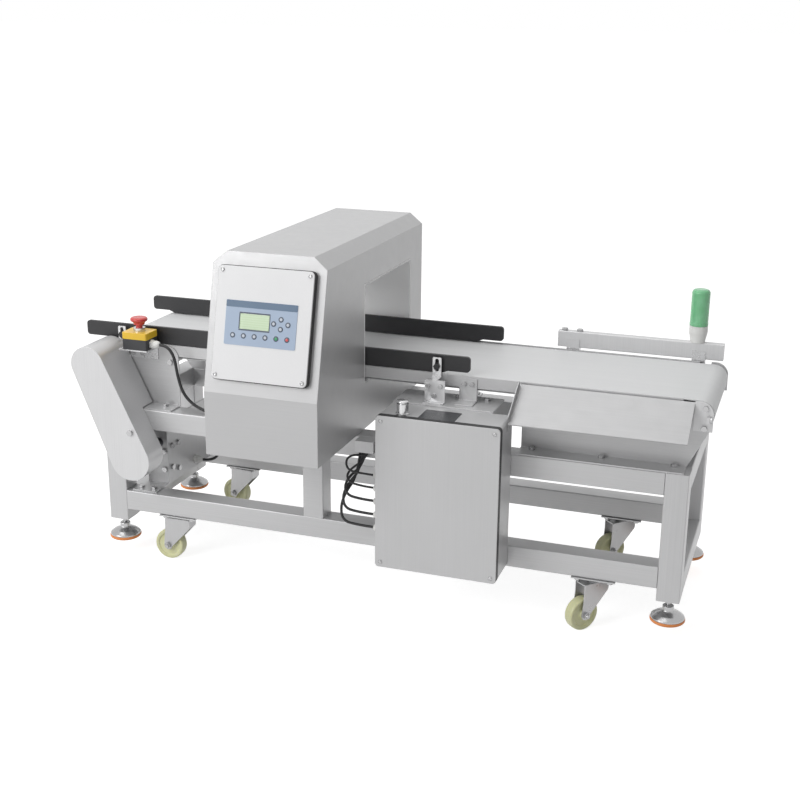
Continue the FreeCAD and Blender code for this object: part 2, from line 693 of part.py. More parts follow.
def make_guides():
    """Two guide strips beside the belt and the brackets that hold them."""
    parts["front_guide"] = guide_strip("front", guide_x0)
    parts["back_guide"] = guide_strip("back", guide_x0 + 17)
    left_x, right_x = guide_bracket_x
    brackets = []
    top = 568.0
    for out in (-1, 1):
        face_y = side_y0 if out < 0 else side_y1
        outer = face_y + out * sheet
        tab = slotted_tab(left_x, out, 500.0, top)
        brackets.append(drilled(tab, [((left_x + 10, outer, 514.0), (0, out, 0), 8.0, sheet)]))
    foot_y = 17.0
    tab = slotted_tab(right_x, -1, 522.0, top)
    shelf = block(right_x, foot_y, 522.0, right_x + bracket_tab, side_y0, 522.0 + sheet)
    plate = block(right_x - 8, foot_y, hanger_top_z, right_x - 8 + bracket_foot, foot_y + sheet, 525.0)
    toe = block(right_x - 8, foot_y - 14, hanger_top_z, right_x - 8 + bracket_foot, foot_y, hanger_top_z + sheet)
    bolts = [((right_x + u, foot_y, v), (0, -1, 0), 6.0, sheet) for u, v in ((0, 512), (28, 512), (14, 490))]
    brackets.append(drilled(tab.fuse([shelf, plate, toe]), bolts))
    tab = slotted_tab(right_x, 1, frame_top_z, top)
    foot = block(right_x, side_y1, frame_top_z, right_x + bracket_tab, frame_depth - 6, frame_top_z + sheet)
    bolts = [((right_x + 10, frame_depth - 22, frame_top_z + sheet), (0, 0, 1), 8.0, sheet)]
    brackets.append(drilled(tab.fuse(foot), bolts))
    return brackets


# ---------------------------------------------------------------- lamp and its bar
def make_lamp():
    """The bar along the back of the belt's right end, with the signal lamp on it."""
    y0 = side_y1 + thin_sheet
    y1 = y0 + back_bar_depth
    z0 = guide_top_z - back_bar_height
    bar = slab(corners(y0, z0, y1, guide_top_z, 2.0), "yz", back_bar_x0, back_bar_x1)
    stays = [block(x, side_y1, 470.0, x + 30, y0, z0 + 20) for x in (1040.0, 1330.0)]
    stays = [s.fuse(block(s.BoundBox.XMin, y0, 500.0, s.BoundBox.XMax, y1, z0)) for s in stays]
    bolts = [[((s.BoundBox.XMin + 15, y1, 512.0), (0, 1, 0), 8.0, 6.0)] for s in stays]
    stays = [drilled(s, b) for s, b in zip(stays, bolts)]
    knobs = [((x, (y0 + y1) / 2, guide_top_z), (0, 0, 1), 8.0, 8.0) for x in (1032.0, 1068.0)]
    parts["back_bar"] = drilled(bar, knobs)
    at = (lamp_x, (y0 + y1) / 2, guide_top_z)
    h = lamp_base_height
    base = turned([(0, 0), (16.5, 0), (lamp_radius, 20), (lamp_radius, h), (0, h)], at)
    at = (at[0], at[1], at[2] + h)
    h = lamp_lens_height
    lens = [(0, 0), (lamp_radius, 0), (lamp_radius, h - 6), (lamp_radius - 6, h), (0, h)]
    hollow = [(0, -1), (lamp_radius - 3, -1), (lamp_radius - 3, h - 4), (0, h - 4)]
    parts["lamp_lens"] = turned(lens, at).cut(turned(hollow, at))
    bulb = turned([(0, 0), (10, 0), (8, 42), (0, 46)], at)
    parts["lamp_base"] = group([base, bulb])
    return stays


# ---------------------------------------------------------------- drive
def sprocket(x, z, teeth, bore, bore_y1, grub):
    """A toothed disc with its hub on a shaft."""
    pitch_r = chain_pitch / (2 * math.sin(math.pi / teeth))
    tip, root = pitch_r + 3.6, pitch_r - chain_roller / 2
    line = []
    for i in range(teeth):
        for share, r in ((-0.33, root), (-0.12, tip), (0.12, tip), (0.33, root)):
            a = 2 * math.pi * (i + share) / teeth
            line.append(Vector(x + r * math.cos(a), sprocket_y - sprocket_t / 2, z + r * math.sin(a)))
    disc = Part.Face(Part.makePolygon(line + line[:1])).extrude(Vector(0, sprocket_t, 0))
    hub = rod(bore + 9, (x, sprocket_y - 8, z), (x, bore_y1, z))
    screw = rod(3, (x, bore_y1 - 7, z), (x, bore_y1 - 7, z + bore + 9 + grub))
    hole = rod(bore, (x, sprocket_y - 9, z), (x, bore_y1 + 1, z))
    return disc.fuse([hub, screw]).cut(hole)


def chain():
    """Two rows of link plates round both sprockets, joined by rollers on the straight runs."""
    low_r = chain_pitch / (2 * math.sin(math.pi / motor_teeth))
    top_r = chain_pitch / (2 * math.sin(math.pi / roller_teeth))
    line = [(motor_shaft_x, motor_shaft_z, low_r), (drive_x, roller_z, top_r)]
    half = chain_plate_height / 2
    gap = sprocket_t / 2 + 0.4
    plates = []
    for y in (sprocket_y - gap - chain_plate_t, sprocket_y + gap):
        band = slab(grown(line, half), "xz", y, y + chain_plate_t)
        plates.append(band.cut(slab(grown(line, -half), "xz", y - 1, y + chain_plate_t + 1)))
    dx, dz = drive_x - motor_shaft_x, roller_z - motor_shaft_z
    reach = math.hypot(dx, dz)
    pins = []
    for side in (-1, 1):
        turn = math.atan2(dz, dx) + side * math.acos((low_r - top_r) / reach)
        n = (math.cos(turn), math.sin(turn))
        start = (motor_shaft_x + low_r * n[0], motor_shaft_z + low_r * n[1])
        end = (drive_x + top_r * n[0], roller_z + top_r * n[1])
        length = math.hypot(end[0] - start[0], end[1] - start[1])
        count = int((length - 60) / chain_pitch)
        first = (length - count * chain_pitch) / 2
        for i in range(count + 1):
            share = (first + i * chain_pitch) / length
            u = start[0] + share * (end[0] - start[0])
            v = start[1] + share * (end[1] - start[1])
            pins.append(prism(8, chain_roller / 2, (u, sprocket_y - gap, v), (u, sprocket_y + gap, v)))
    return plates[0].fuse([plates[1]] + pins)


def make_drive():
    """Gear motor on its bracket, sprockets, chain and the guard over them."""
    low = (motor_shaft_x, motor_shaft_z, guard_low_radius)
    top = (guard_top_x, guard_top_z, guard_top_radius)
    line = [low, top]
    inside = grown(line, -thin_sheet)
    shell = slab(line, "xz", guard_front_y, 0.0)
    shell = shell.cut(slab(inside, "xz", guard_front_y + thin_sheet, 1.0))
    skirt_y = side_y0 - sheet - fit_gap
    skirt = slab(line, "xz", 0.0, skirt_y).cut(slab(inside, "xz", -1.0, skirt_y + 1))
    skirt = skirt.common(block(-60, -1, frame_top_z + sheet + 2, 200, skirt_y, 600))
    guard = shell.fuse(skirt).removeSplitter()
    bolts = [((23.0, guard_front_y, 481.0), (0, -1, 0), 8.0, thin_sheet),
             ((110.0, guard_front_y, 346.0), (0, -1, 0), 8.0, thin_sheet)]
    parts["chain_guard"] = drilled(guard, bolts[1:])

    hub_end = sprocket_y + 16.0
    parts["roller_sprocket"] = sprocket(drive_x, roller_z, roller_teeth, roller_shaft_radius, hub_end, 2.0)
    wheel = sprocket(motor_shaft_x, motor_shaft_z, motor_teeth, motor_shaft_radius, hub_end, 2.0)
    shaft = rod(motor_shaft_radius, (motor_shaft_x, sprocket_y - 12, motor_shaft_z),
                (motor_shaft_x, mount_front_y + 38, motor_shaft_z))
    parts["motor_sprocket"] = group([wheel, shaft])
    parts["drive_chain"] = chain()

    x0, x1, y0 = mount_x0, mount_x1, mount_front_y
    back_y = 300.0
    front = block(x0, y0, low_rail_top_z, x1, y0 + sheet, upper_rail_z)
    side = block(x1 - sheet, y0, low_rail_top_z, x1, back_y, upper_rail_z)
    foot = block(x0, tube, low_rail_top_z, x1, y0 + sheet, low_rail_top_z + sheet)
    foot = foot.fuse(block(x0 - 8, 8, low_rail_top_z, x1, tube, low_rail_top_z + sheet))
    mount = front.fuse([side, foot]).removeSplitter()
    mount = mount.cut(rod(motor_shaft_radius + 4, (motor_shaft_x, y0 - 1, motor_shaft_z),
                          (motor_shaft_x, y0 + sheet + 1, motor_shaft_z)))
    bolts = [((x1 - 9, y0, z), (0, -1, 0), 8.0, sheet) for z in (255.0, 208.0)]
    bolts += [((x1, y, z), (1, 0, 0), 8.0, sheet) for y, z in ((121, 263), (121, 197), (90, 265), (90, 210))]
    bolts += [((x, 26, low_rail_top_z + sheet), (0, 0, 1), 8.0, sheet) for x in (78.0, 112.0)]
    parts["motor_mount"] = drilled(mount, bolts)

    gear_x0, gear_x1 = x0 + 2, x1 - sheet
    gear = block(gear_x0, y0 + sheet, motor_shaft_z - 42, gear_x1, y0 + sheet + 62, motor_shaft_z + 42)
    gear = gear.cut(rod(motor_shaft_radius + running_gap, (motor_shaft_x, y0, motor_shaft_z),
                        (motor_shaft_x, y0 + 40, motor_shaft_z)))
    motor_x = (gear_x0 + gear_x1) / 2
    barrel = rod(motor_radius, (motor_x, y0 + sheet + 62, motor_shaft_z - 12),
                 (motor_x, back_y - 20, motor_shaft_z - 12))
    cap = rod(motor_radius - 3, (motor_x, back_y - 20, motor_shaft_z - 12),
              (motor_x, back_y - 6, motor_shaft_z - 12))
    parts["gear_motor"] = gear.fuse([barrel, cap]).removeSplitter()


# ---------------------------------------------------------------- controls
hanger_z = box_top_z
hanger_top_z = hanger_z + sheet
shelf_z = belt_top_z - 4.0


def make_estop():
    """Emergency stop on a shelf beside the belt."""
    x0, x1 = estop_x0, estop_x0 + estop_size
    y0, y1 = estop_front_y, estop_front_y + estop_depth
    z0 = shelf_z + sheet
    z1 = z0 + estop_base_height
    z2 = z1 + estop_lid_height
    shelf = block(x0 - 10, y0, shelf_z, x1, side_y0, z0)
    back = block(x0 - 10, side_y0 - sheet, 495.0, x1, side_y0, shelf_z)
    bolts = [((x, side_y0 - sheet, 508.0), (0, -1, 0), 7.0, sheet) for x in (x0 - 2, x0 + 24)]
    shelf = drilled(shelf.fuse(back).removeSplitter(), bolts)
    mid_x, mid_y = (x0 + x1) / 2, (y0 + y1) / 2
    well = rod(9.0, (mid_x, mid_y, z1 - 8), (mid_x, mid_y, z2 + 20))
    base = slab(corners(x0, y0, x1, y1, 4.0), "xy", z0, z1)
    parts["estop_base"] = base.cut(well)
    lid = slab(corners(x0, y0, x1, y1, 4.0), "xy", z1, z2)
    parts["estop_lid"] = lid.cut(well)
    collar = rod(14.0, (mid_x, mid_y, z2), (mid_x, mid_y, z2 + 8))
    collar = collar.cut(rod(8.0 + running_gap, (mid_x, mid_y, z2 - 1), (mid_x, mid_y, z2 + 9)))
    r = estop_head_radius
    profile = [(0, -12), (8.0, -12), (8.0, 0), (13, 0), (14, 6), (r, 9), (r, 14), (r - 6, 17.5), (0, 17.5)]
    parts["estop_button"] = turned(profile, (mid_x, mid_y, z2 + 8 + estop_travel + 1.5))
    return shelf, collar


def gland(base, axis):
    """A cable gland: nut against the wall, then its domed cap."""
    start, way = Vector(*base), Vector(*axis)
    nut_end, cap_end = start + way * 7, start + way * gland_length
    nut = prism(6, gland_radius + 2, start, nut_end)
    return nut.fuse(prism(8, gland_radius, nut_end, cap_end))


gland_length = 23.0
box_gland_y = box_body_y + 45.0
motor_gland = (mount_x1, 207.0, 191.0)
estop_gland = (estop_x0 + estop_size, estop_front_y + 22.0, shelf_z + sheet + 12.5)
head_glands = ((head_x0, 17.0, 402.0), (head_x0, 207.0, 412.0))


def make_control_box():
    """Control box with its cover, gasket, hanger, button and what it holds."""
    x0, x1, z0, z1 = box_x0, box_x1, box_bottom_z, box_top_z
    y0, y1 = box_body_y, box_back_y
    w = thin_sheet
    outer = slab(corners(x0, z0, x1, z1, box_corner), "xz", y0, y1)
    body = outer.cut(slab(corners(x0 + w, z0 + w, x1 - w, z1 - w, box_corner - w), "xz", y0 - 1, y1 - w))
    button_at = (x0 + 52, y0 + 18)
    parts["control_box"] = body
    parts["control_unit"] = block(x0 + 40, y1 - w - 50, z0 + 90, x1 - 40, y1 - w, z1 - 70).fuse(
        block(x0 + 60, y1 - w - 62, z0 + 130, x0 + 130, y1 - w - 50, z1 - 120)).removeSplitter()
    seal = slab(corners(x0 + 0.5, z0 + 0.5, x1 - 0.5, z1 - 0.5, box_corner), "xz", y0 - box_gasket_t, y0)
    seal = seal.cut(slab(corners(x0 + 10, z0 + 10, x1 - 10, z1 - 10, 4), "xz", y0 - box_gasket_t - 1, y0 + 1))
    front = y0 - box_gasket_t - box_cover_t
    cover = slab(corners(x0, z0, x1, z1, box_corner), "xz", front, front + box_cover_t)
    pocket = slab(corners(x0 + 12, z0 + 12, x1 - 12, z1 - 12, 4), "xz", front + w, front + box_cover_t + 1)
    parts["box_cover"] = cover.cut(pocket)
    screws = [prism(8, screw_head_radius, (x, front, z), (x, front - 3.4, z))
              for x in (x0 + 12, x1 - 12) for z in (z0 + 12, z1 - 12)]

    bx, by = button_at
    r = button_radius
    collar = turned([(0, 0), (r + 2, 0), (r + 2, 4), (r, 5), (r, 24), (0, 24)], (bx, by, z1))
    collar = collar.cut(rod(10.3, (bx, by, z1 + 8), (bx, by, z1 + 30)))
    parts["start_button"] = turned([(0, 0), (10, 0), (10, 18), (8.5, 20), (0, 20)], (bx, by, z1 + 12.5))

    top = block(x0 + 4, y1, hanger_z, x0 + 231, 96, hanger_top_z)
    back = block(x0 + 4, y1, frame_top_z + 8, x0 + 231, y1 + sheet, hanger_z)
    seat = block(x0 + 4, y1 + sheet, frame_top_z + 8, x0 + 231, y1 + 45, frame_top_z + 8 + sheet)
    stand = block(x0 + 4, y1 + 2 + sheet, frame_top_z, x0 + 34, y1 + 45, frame_top_z + 8)
    stand2 = block(x0 + 200, y1 + 2 + sheet, frame_top_z, x0 + 231, y1 + 45, frame_top_z + 8)
    hanger = top.fuse([back, seat, stand, stand2]).removeSplitter()
    bolts = [((x, 72.0, hanger_top_z), (0, 0, 1), 8.0, sheet) for x in (862.0, 928.0)]
    bolts += [((x0 + u, y1 + 26, frame_top_z + 8 + sheet), (0, 0, 1), 8.0, sheet) for u in (19.0, 215.0)]
    hanger = drilled(hanger, bolts)
    post = block(869, side_y0, hanger_top_z, 909, side_y0 + sheet, bed_top_z)
    toe = block(869, side_y0 - 34, hanger_top_z, 909, side_y0, hanger_top_z + sheet)
    bolts = [((x, side_y0, bed_low_z + 10), (0, -1, 0), 6.0, sheet) for x in (880.0, 898.0)]
    parts["box_hanger"] = group([hanger, drilled(post.fuse(toe).removeSplitter(), bolts)])
    hood = block(hood_x0, hood_y0, hood_z0, hood_x1, 0, frame_top_z)
    hood = hood.cut(block(hood_x0 + 2, hood_y0 + 2, hood_z0 - 1, hood_x1 - 2, 1, frame_top_z - 2))
    parts["cable_hood"] = hood
    return seal, screws, collar


hood_x0, hood_x1 = 656.0, 700.0
hood_y0, hood_z0 = -33.0, 356.0


# ---------------------------------------------------------------- cables
def cable(name, points, radius=cable_radius):
    """A round cable along straight runs joined by tangent arcs."""
    points = [Vector(*p) for p in points]
    edges, start = [], points[0]
    radii = []
    for a, b, c in zip(points, points[1:], points[2:]):
        back, on = (a - b).normalize(), (c - b).normalize()
        half = (math.pi - back.getAngle(on)) / 2
        cut_back = 0.45 * min((b - a).Length, (c - b).Length)
        r = cut_back / math.tan(half)
        radii.append(r)
        p, q = b + back * cut_back, b + on * cut_back
        centre = b + (back + on).normalize() * (r / math.cos(half))
        mid = centre + (b - centre).normalize() * r
        edges.append(Part.LineSegment(start, p).toShape())
        edges.append(Part.Arc(p, mid, q).toShape())
        start = q
    edges.append(Part.LineSegment(start, points[-1]).toShape())
    wire = Part.Wire(edges)
    sides = 8
    corner = radius * math.sqrt(2 * math.pi / (sides * math.sin(2 * math.pi / sides)))
    turn = FreeCAD.Rotation(Vector(0, 0, 1), points[1] - points[0])
    ring = [points[0] + turn.multVec(Vector(corner * math.cos(2 * math.pi * i / sides),
                                            corner * math.sin(2 * math.pi * i / sides), 0))
            for i in range(sides)]
    solid = wire.makePipeShell([Part.makePolygon(ring + ring[:1])], True, False)
    straight = math.pi * radius ** 2 * wire.Length
    print(name, "smallest bend", round(min(radii), 1), "volume share", round(solid.Volume / straight, 4))
    return solid


def make_cables():
    """Glands and the cables between them."""
    glands = [gland((box_x0, box_gland_y, z), (-1, 0, 0)) for z in gland_z]
    glands += [gland(motor_gland, (1, 0, 0)), gland(estop_gland, (1, 0, 0))]
    glands += [gland(p, (-1, 0, 0)) for p in head_glands]
    parts["cable_glands"] = group(glands)

    x, y, z = estop_gland
    hx, hy, hz = head_glands[0]
    rail = frame_top_z + cable_radius + 0.5
    points = [(x + gland_length, y, z), (x + 41, y, z), (x + 60, y - 1, z - 24), (x + 67, y - 2, z - 72),
              (x + 80, y - 1, z - 116), (x + 114, y, rail + 9), (x + 160, y - 3, rail + 1),
              (x + 208, y - 1, rail + 5), (hx - 44, hy, hz), (hx - gland_length, hy, hz)]
    runs = [cable("estop_cable", points)]

    x, y, z = motor_gland
    hx, hy, hz = head_glands[1]
    points = [(x + gland_length, y, z), (x + 52, y, z), (x + 78, y, z + 34), (x + 92, y, z + 94),
              (x + 124, y, z + 154), (x + 178, y, z + 206), (hx - 52, hy, hz), (hx - gland_length, hy, hz)]
    runs.append(cable("motor_cable", points))

    for i, gz in enumerate(gland_z):
        top_x = hood_x0 + 8.0 + i * 7.0
        left = 616.0 + i * 5.0
        y = box_gland_y
        drop = frame_top_z - thin_sheet - gz
        bends = [(top_x - 1, -19.0, gz + drop * 0.6), (left + 8, -34.0, gz + max(drop * 0.28, 26.0)),
                 (left + 14, y - 4, gz + 8), (left + 50, y, gz)]
        if i == len(gland_z) - 1:
            bends = [(top_x, -19.0, gz + drop * 0.5), (638.0, -35.0, gz + 36), (641.0, y - 2, gz + 4),
                     (684.0, y, gz)]
        points = [(top_x, -16.0, gz + drop)] + bends + [(box_x0 - gland_length, y, gz)]
        runs.append(cable("control_cable_%d" % i, points, 3.0 if i < 3 else 2.5))
    parts["cables"] = group(runs)


def write_parts():
    """Moves every part to the machine's own origin and writes it."""
    os.makedirs("parts", exist_ok=True)
    boxes = [shape.BoundBox for shape in parts.values()]
    x0, x1 = min(b.XMin for b in boxes), max(b.XMax for b in boxes)
    y0, y1 = min(b.YMin for b in boxes), max(b.YMax for b in boxes)
    z0, z1 = min(b.ZMin for b in boxes), max(b.ZMax for b in boxes)
    print("outer box", round(x0, 2), round(x1, 2), round(y0, 2), round(y1, 2), round(z0, 2), round(z1, 2))
    for name, shape in parts.items():
        moved = shape.copy()
        moved.translate(Vector(-(x0 + x1) / 2, -(y0 + y1) / 2, 0))
        moved.exportStep("parts/" + name + ".step")
    print(len(parts), "parts written")


make_frame()
make_feet()
make_casters()
door_gasket, door_screws = make_head()
make_conveyor()
make_side_plates()
make_deflector()
brackets = make_guides() + make_lamp()
make_drive()
estop_shelf, estop_collar = make_estop()
box_gasket, box_screws, button_collar = make_control_box()
make_cables()
parts["support_brackets"] = group(brackets + [estop_shelf])
parts["button_collars"] = group([estop_collar, button_collar])
parts["cover_gaskets"] = group([door_gasket, box_gasket])
parts["cover_screws"] = group(door_screws + box_screws)
parts["machine_bolts"] = group(loose_bolts)
write_parts()
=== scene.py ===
import json
import math
import bmesh
import bpy
import numpy as np
from mathutils import Matrix, Vector


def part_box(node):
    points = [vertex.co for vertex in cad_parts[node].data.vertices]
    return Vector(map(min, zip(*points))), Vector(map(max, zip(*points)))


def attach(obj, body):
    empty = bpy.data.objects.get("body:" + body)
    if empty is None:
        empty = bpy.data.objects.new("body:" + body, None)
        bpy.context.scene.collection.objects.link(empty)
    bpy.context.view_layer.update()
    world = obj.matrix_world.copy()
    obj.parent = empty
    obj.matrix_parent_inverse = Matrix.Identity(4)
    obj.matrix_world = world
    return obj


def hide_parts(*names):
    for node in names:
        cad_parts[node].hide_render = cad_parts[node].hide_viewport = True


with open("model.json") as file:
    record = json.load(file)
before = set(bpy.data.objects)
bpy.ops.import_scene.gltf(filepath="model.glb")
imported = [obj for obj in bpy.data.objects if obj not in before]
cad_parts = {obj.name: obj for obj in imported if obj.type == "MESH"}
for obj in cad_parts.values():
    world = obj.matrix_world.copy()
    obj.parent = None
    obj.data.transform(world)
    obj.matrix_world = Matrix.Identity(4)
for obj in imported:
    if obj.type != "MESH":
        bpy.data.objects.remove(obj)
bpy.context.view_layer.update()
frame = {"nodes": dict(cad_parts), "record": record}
nodes = frame["nodes"]
behaviour = frame["record"]["behaviour"]
bodyOf = {node: body for body, names in behaviour["bodies"].items() for node in names}
corners4 = ["front_left", "front_right", "back_left", "back_right"]
levels = 2

# layout millimetres count from the left end of the frame, its front plane and the floor
frameCorner = np.array([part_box("frame_legs")[0][0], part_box("frame_legs")[0][1], 0.0])


def metres(points):
    return np.asarray(points, float) / 1000 + frameCorner


def lowHigh(node):
    # a node's lowest and highest corners in layout millimetres
    low, high = (np.array(c, float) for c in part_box(node))
    return (low - frameCorner) * 1000, (high - frameCorner) * 1000


print("frame loaded:", len(nodes), "nodes")

camera = {"place": (1605.1, -2499.1, 1310.1), "yaw": 18.9, "pitch": 17.5, "roll": 0.5, "lens": 57.03}


def makeCamera():
    yaw, pitch, roll = (math.radians(camera[k]) for k in ("yaw", "pitch", "roll"))
    look = Vector((-math.sin(yaw) * math.cos(pitch), math.cos(yaw) * math.cos(pitch), -math.sin(pitch)))
    right = Vector((math.cos(yaw), math.sin(yaw), 0))
    up = right.cross(look)
    side = right * math.cos(roll) + up * math.sin(roll)
    top = up * math.cos(roll) - right * math.sin(roll)
    data = bpy.data.cameras.new("photoCamera")
    data.lens = camera["lens"]
    data.sensor_width = 36.0
    cam = bpy.data.objects.new("photoCamera", data)
    turn = Matrix((side, top, -look)).transposed().to_4x4()
    cam.matrix_world = Matrix.Translation(Vector(metres(camera["place"]))) @ turn
    bpy.context.scene.collection.objects.link(cam)
    bpy.context.scene.camera = cam


makeCamera()
print("camera placed")



def newMaterial(name):
    mat = bpy.data.materials.new(name)
    mat.use_nodes = True
    tree = mat.node_tree
    return mat, tree, tree.nodes["Principled BSDF"]


def put(tree, kind, **values):
    # a node with its sockets and settings given by name
    node = tree.nodes.new(kind)
    for key, value in values.items():
        socket = node.inputs.get(key.replace("_", " "))
        if socket is not None:
            socket.default_value = value
        else:
            setattr(node, key, value)
    return node


def objectPlace(tree, scale=(1, 1, 1)):
    coords = put(tree, "ShaderNodeTexCoord")
    mapping = put(tree, "ShaderNodeMapping")
    mapping.inputs["Scale"].default_value = scale
    tree.links.new(coords.outputs["Object"], mapping.inputs["Vector"])
    return mapping.outputs["Vector"]


def ramp(tree, source, low, high, a, b):
    # maps a value range onto a colour range
    node = put(tree, "ShaderNodeValToRGB")
    for element, position, colour in zip(node.color_ramp.elements, (low, high), (a, b)):
        element.position = position
        element.color = (*colour, 1)
    tree.links.new(source, node.inputs["Fac"])
    return node.outputs["Color"]


def noise(tree, vector, size, detail=3.0, rough=0.5):
    node = put(tree, "ShaderNodeTexNoise", Scale=size, Detail=detail, Roughness=rough)
    tree.links.new(vector, node.inputs["Vector"])
    return node.outputs["Fac"]


def bump(tree, shader, source, strength, distance):
    node = put(tree, "ShaderNodeBump", Strength=strength, Distance=distance)
    tree.links.new(source, node.inputs["Height"])
    tree.links.new(node.outputs["Normal"], shader.inputs["Normal"])


def spread(tree, source, low, high):
    # a noise value mapped to a roughness range
    node = put(tree, "ShaderNodeMapRange")
    for key, value in (("From Min", 0.3), ("From Max", 0.7), ("To Min", low), ("To Max", high)):
        node.inputs[key].default_value = value
    tree.links.new(source, node.inputs["Value"])
    return node.outputs["Result"]


def brushed(name, tone, metal=0.35, rough=0.38, along="x", grain=1.0):
    # stainless sheet: fine drawn lines along one axis, faint clouds and handling marks
    mat, tree, shader = newMaterial(name)
    stretch = {"x": (5, 900, 900), "y": (900, 5, 900), "z": (900, 900, 5)}[along]  # long and thin noise
    lines = noise(tree, objectPlace(tree, stretch), 1.0, 2.0, 0.6)
    clouds = noise(tree, objectPlace(tree), 4.0, 4.0, 0.55)
    marks = noise(tree, objectPlace(tree), 38.0, 5.0, 0.7)
    mixed = put(tree, "ShaderNodeMix", data_type="RGBA", blend_type="MULTIPLY")
    mixed.inputs["Factor"].default_value = 1.0
    t = np.array([tone, tone, tone * 1.01])
    swing = 0.035 * grain
    tree.links.new(ramp(tree, lines, 0.3, 0.7, t * (1 - swing), np.minimum(t * (1 + swing), 1)),
                   mixed.inputs["A"])
    tree.links.new(ramp(tree, clouds, 0.3, 0.7, (0.96,) * 3, (1.0,) * 3), mixed.inputs["B"])
    tree.links.new(mixed.outputs["Result"], shader.inputs["Base Color"])
    shader.inputs["Metallic"].default_value = metal
    tree.links.new(spread(tree, marks, rough - 0.04, rough + 0.06), shader.inputs["Roughness"])
    bump(tree, shader, lines, 0.04 * grain, 0.0003)
    return mat


def moulded(name, colour, rough=0.45, grain=900.0, depth=0.08, vary=0.06, coat=0.0):
    # moulded plastic or rubber: fine spark-eroded grain and slight colour variation
    mat, tree, shader = newMaterial(name)
    c = np.array(colour)
    clouds = noise(tree, objectPlace(tree), 14.0, 3.0)
    fine = noise(tree, objectPlace(tree), grain, 2.0)
    tree.links.new(ramp(tree, clouds, 0.3, 0.7, c * (1 - vary), np.minimum(c * (1 + vary) + 0.004, 1)),
                   shader.inputs["Base Color"])
    tree.links.new(spread(tree, fine, rough - 0.05, rough + 0.07), shader.inputs["Roughness"])
    shader.inputs["Coat Weight"].default_value = coat
    bump(tree, shader, fine, depth, 0.0003)
    return mat


def beltFabric(name):
    # pale coated belt: a fine plain weave, faint scuffs along the run
    mat, tree, shader = newMaterial(name)
    place = objectPlace(tree)
    waves = []
    for direction in ("X", "Y"):
        wave = put(tree, "ShaderNodeTexWave", Scale=260.0, Distortion=0.6, Detail=1.0)
        wave.bands_direction = direction
        tree.links.new(place, wave.inputs["Vector"])
        waves.append(wave.outputs["Fac"])
    both = put(tree, "ShaderNodeMath", operation="MULTIPLY")
    for wave, socket in zip(waves, both.inputs):
        tree.links.new(wave, socket)
    scuffs = noise(tree, objectPlace(tree, (3, 60, 3)), 1.0, 4.0, 0.6)
    tree.links.new(ramp(tree, scuffs, 0.25, 0.75, (0.70, 0.705, 0.71), (0.74, 0.745, 0.75)),
                   shader.inputs["Base Color"])
    tree.links.new(spread(tree, scuffs, 0.42, 0.55), shader.inputs["Roughness"])
    bump(tree, shader, both.outputs[0], 0.12, 0.0004)
    return mat


def creamTread(name):
    # cast polyurethane wheel: slightly see-through cream yellow
    mat, tree, shader = newMaterial(name)
    clouds = noise(tree, objectPlace(tree), 30.0, 3.0)
    tree.links.new(ramp(tree, clouds, 0.3, 0.7, (0.70, 0.70, 0.40), (0.80, 0.80, 0.52)),
                   shader.inputs["Base Color"])
    shader.inputs["Roughness"].default_value = 0.38
    shader.inputs["Subsurface Weight"].default_value = 0.15
    shader.inputs["Subsurface Radius"].default_value = (0.006, 0.005, 0.002)
    bump(tree, shader, noise(tree, objectPlace(tree), 500.0, 2.0), 0.06, 0.0004)
    return mat


def clearGreen(name):
    # tinted lamp lens, a little clouded
    mat, tree, shader = newMaterial(name)
    clouds = noise(tree, objectPlace(tree), 40.0, 2.0)
    tree.links.new(ramp(tree, clouds, 0.3, 0.7, (0.22, 0.66, 0.33), (0.30, 0.76, 0.42)),
                   shader.inputs["Base Color"])
    shader.inputs["Roughness"].default_value = 0.22
    shader.inputs["Transmission Weight"].default_value = 0.3
    shader.inputs["IOR"].default_value = 1.49
    shader.inputs["Coat Weight"].default_value = 0.3
    return mat


def screenGlass(name):
    # unlit dot display: pale green with a fine dot raster
    mat, tree, shader = newMaterial(name)
    dots = put(tree, "ShaderNodeTexVoronoi", Scale=900.0, Randomness=0.0)
    tree.links.new(objectPlace(tree), dots.inputs["Vector"])
    tree.links.new(ramp(tree, dots.outputs["Distance"], 0.2, 0.6, (0.32, 0.47, 0.24), (0.42, 0.57, 0.33)),
                   shader.inputs["Base Color"])
    shader.inputs["Roughness"].default_value = 0.18
    shader.inputs["Coat Weight"].default_value = 0.5
    return mat


steelX = brushed("stainlessAlongX", 0.56, along="x")
steelY = brushed("stainlessAlongY", 0.56, along="y")
steelZ = brushed("stainlessAlongZ", 0.56, along="z")
guardSteel = brushed("stainlessGuard", 0.66, along="z")
headSteel = brushed("stainlessHead", 0.50, along="x", grain=0.6)
boxSteel = brushed("stainlessBox", 0.54, along="z", grain=0.6)
slopeSteel = brushed("stainlessSlope", 0.40, along="x")
whiteSteel = brushed("coatedDoor", 0.85, metal=0.0, rough=0.42, along="z", grain=0.3)
bracketSteel = brushed("stainlessBracket", 0.66, metal=0.6, rough=0.28, along="z", grain=0.5)
bellSteel = brushed("turnedSteel", 0.44, metal=0.9, rough=0.24, along="z", grain=0.8)
boltSteel = brushed("boltSteel", 0.46, metal=0.85, rough=0.26, along="z", grain=0.4)
brightSteel = brushed("polishedSteel", 0.62, metal=0.85, rough=0.2, along="z", grain=0.4)
zincSteel = brushed("zincPlate", 0.46, metal=0.7, rough=0.3, along="z", grain=0.5)
oiledSteel = brushed("oiledSteel", 0.20, metal=0.85, rough=0.35, along="x", grain=0.5)
beltCoat = beltFabric("beltCoating")
cream = creamTread("creamPolyurethane")
blackStrip = moulded("blackStrip", (0.022, 0.022, 0.024), rough=0.5)
# this black also paints the shade on the box cover's folded rim
blackRubberAndShade = moulded("blackRubberAndShade", (0.016, 0.016, 0.017), rough=0.55, depth=0.15)
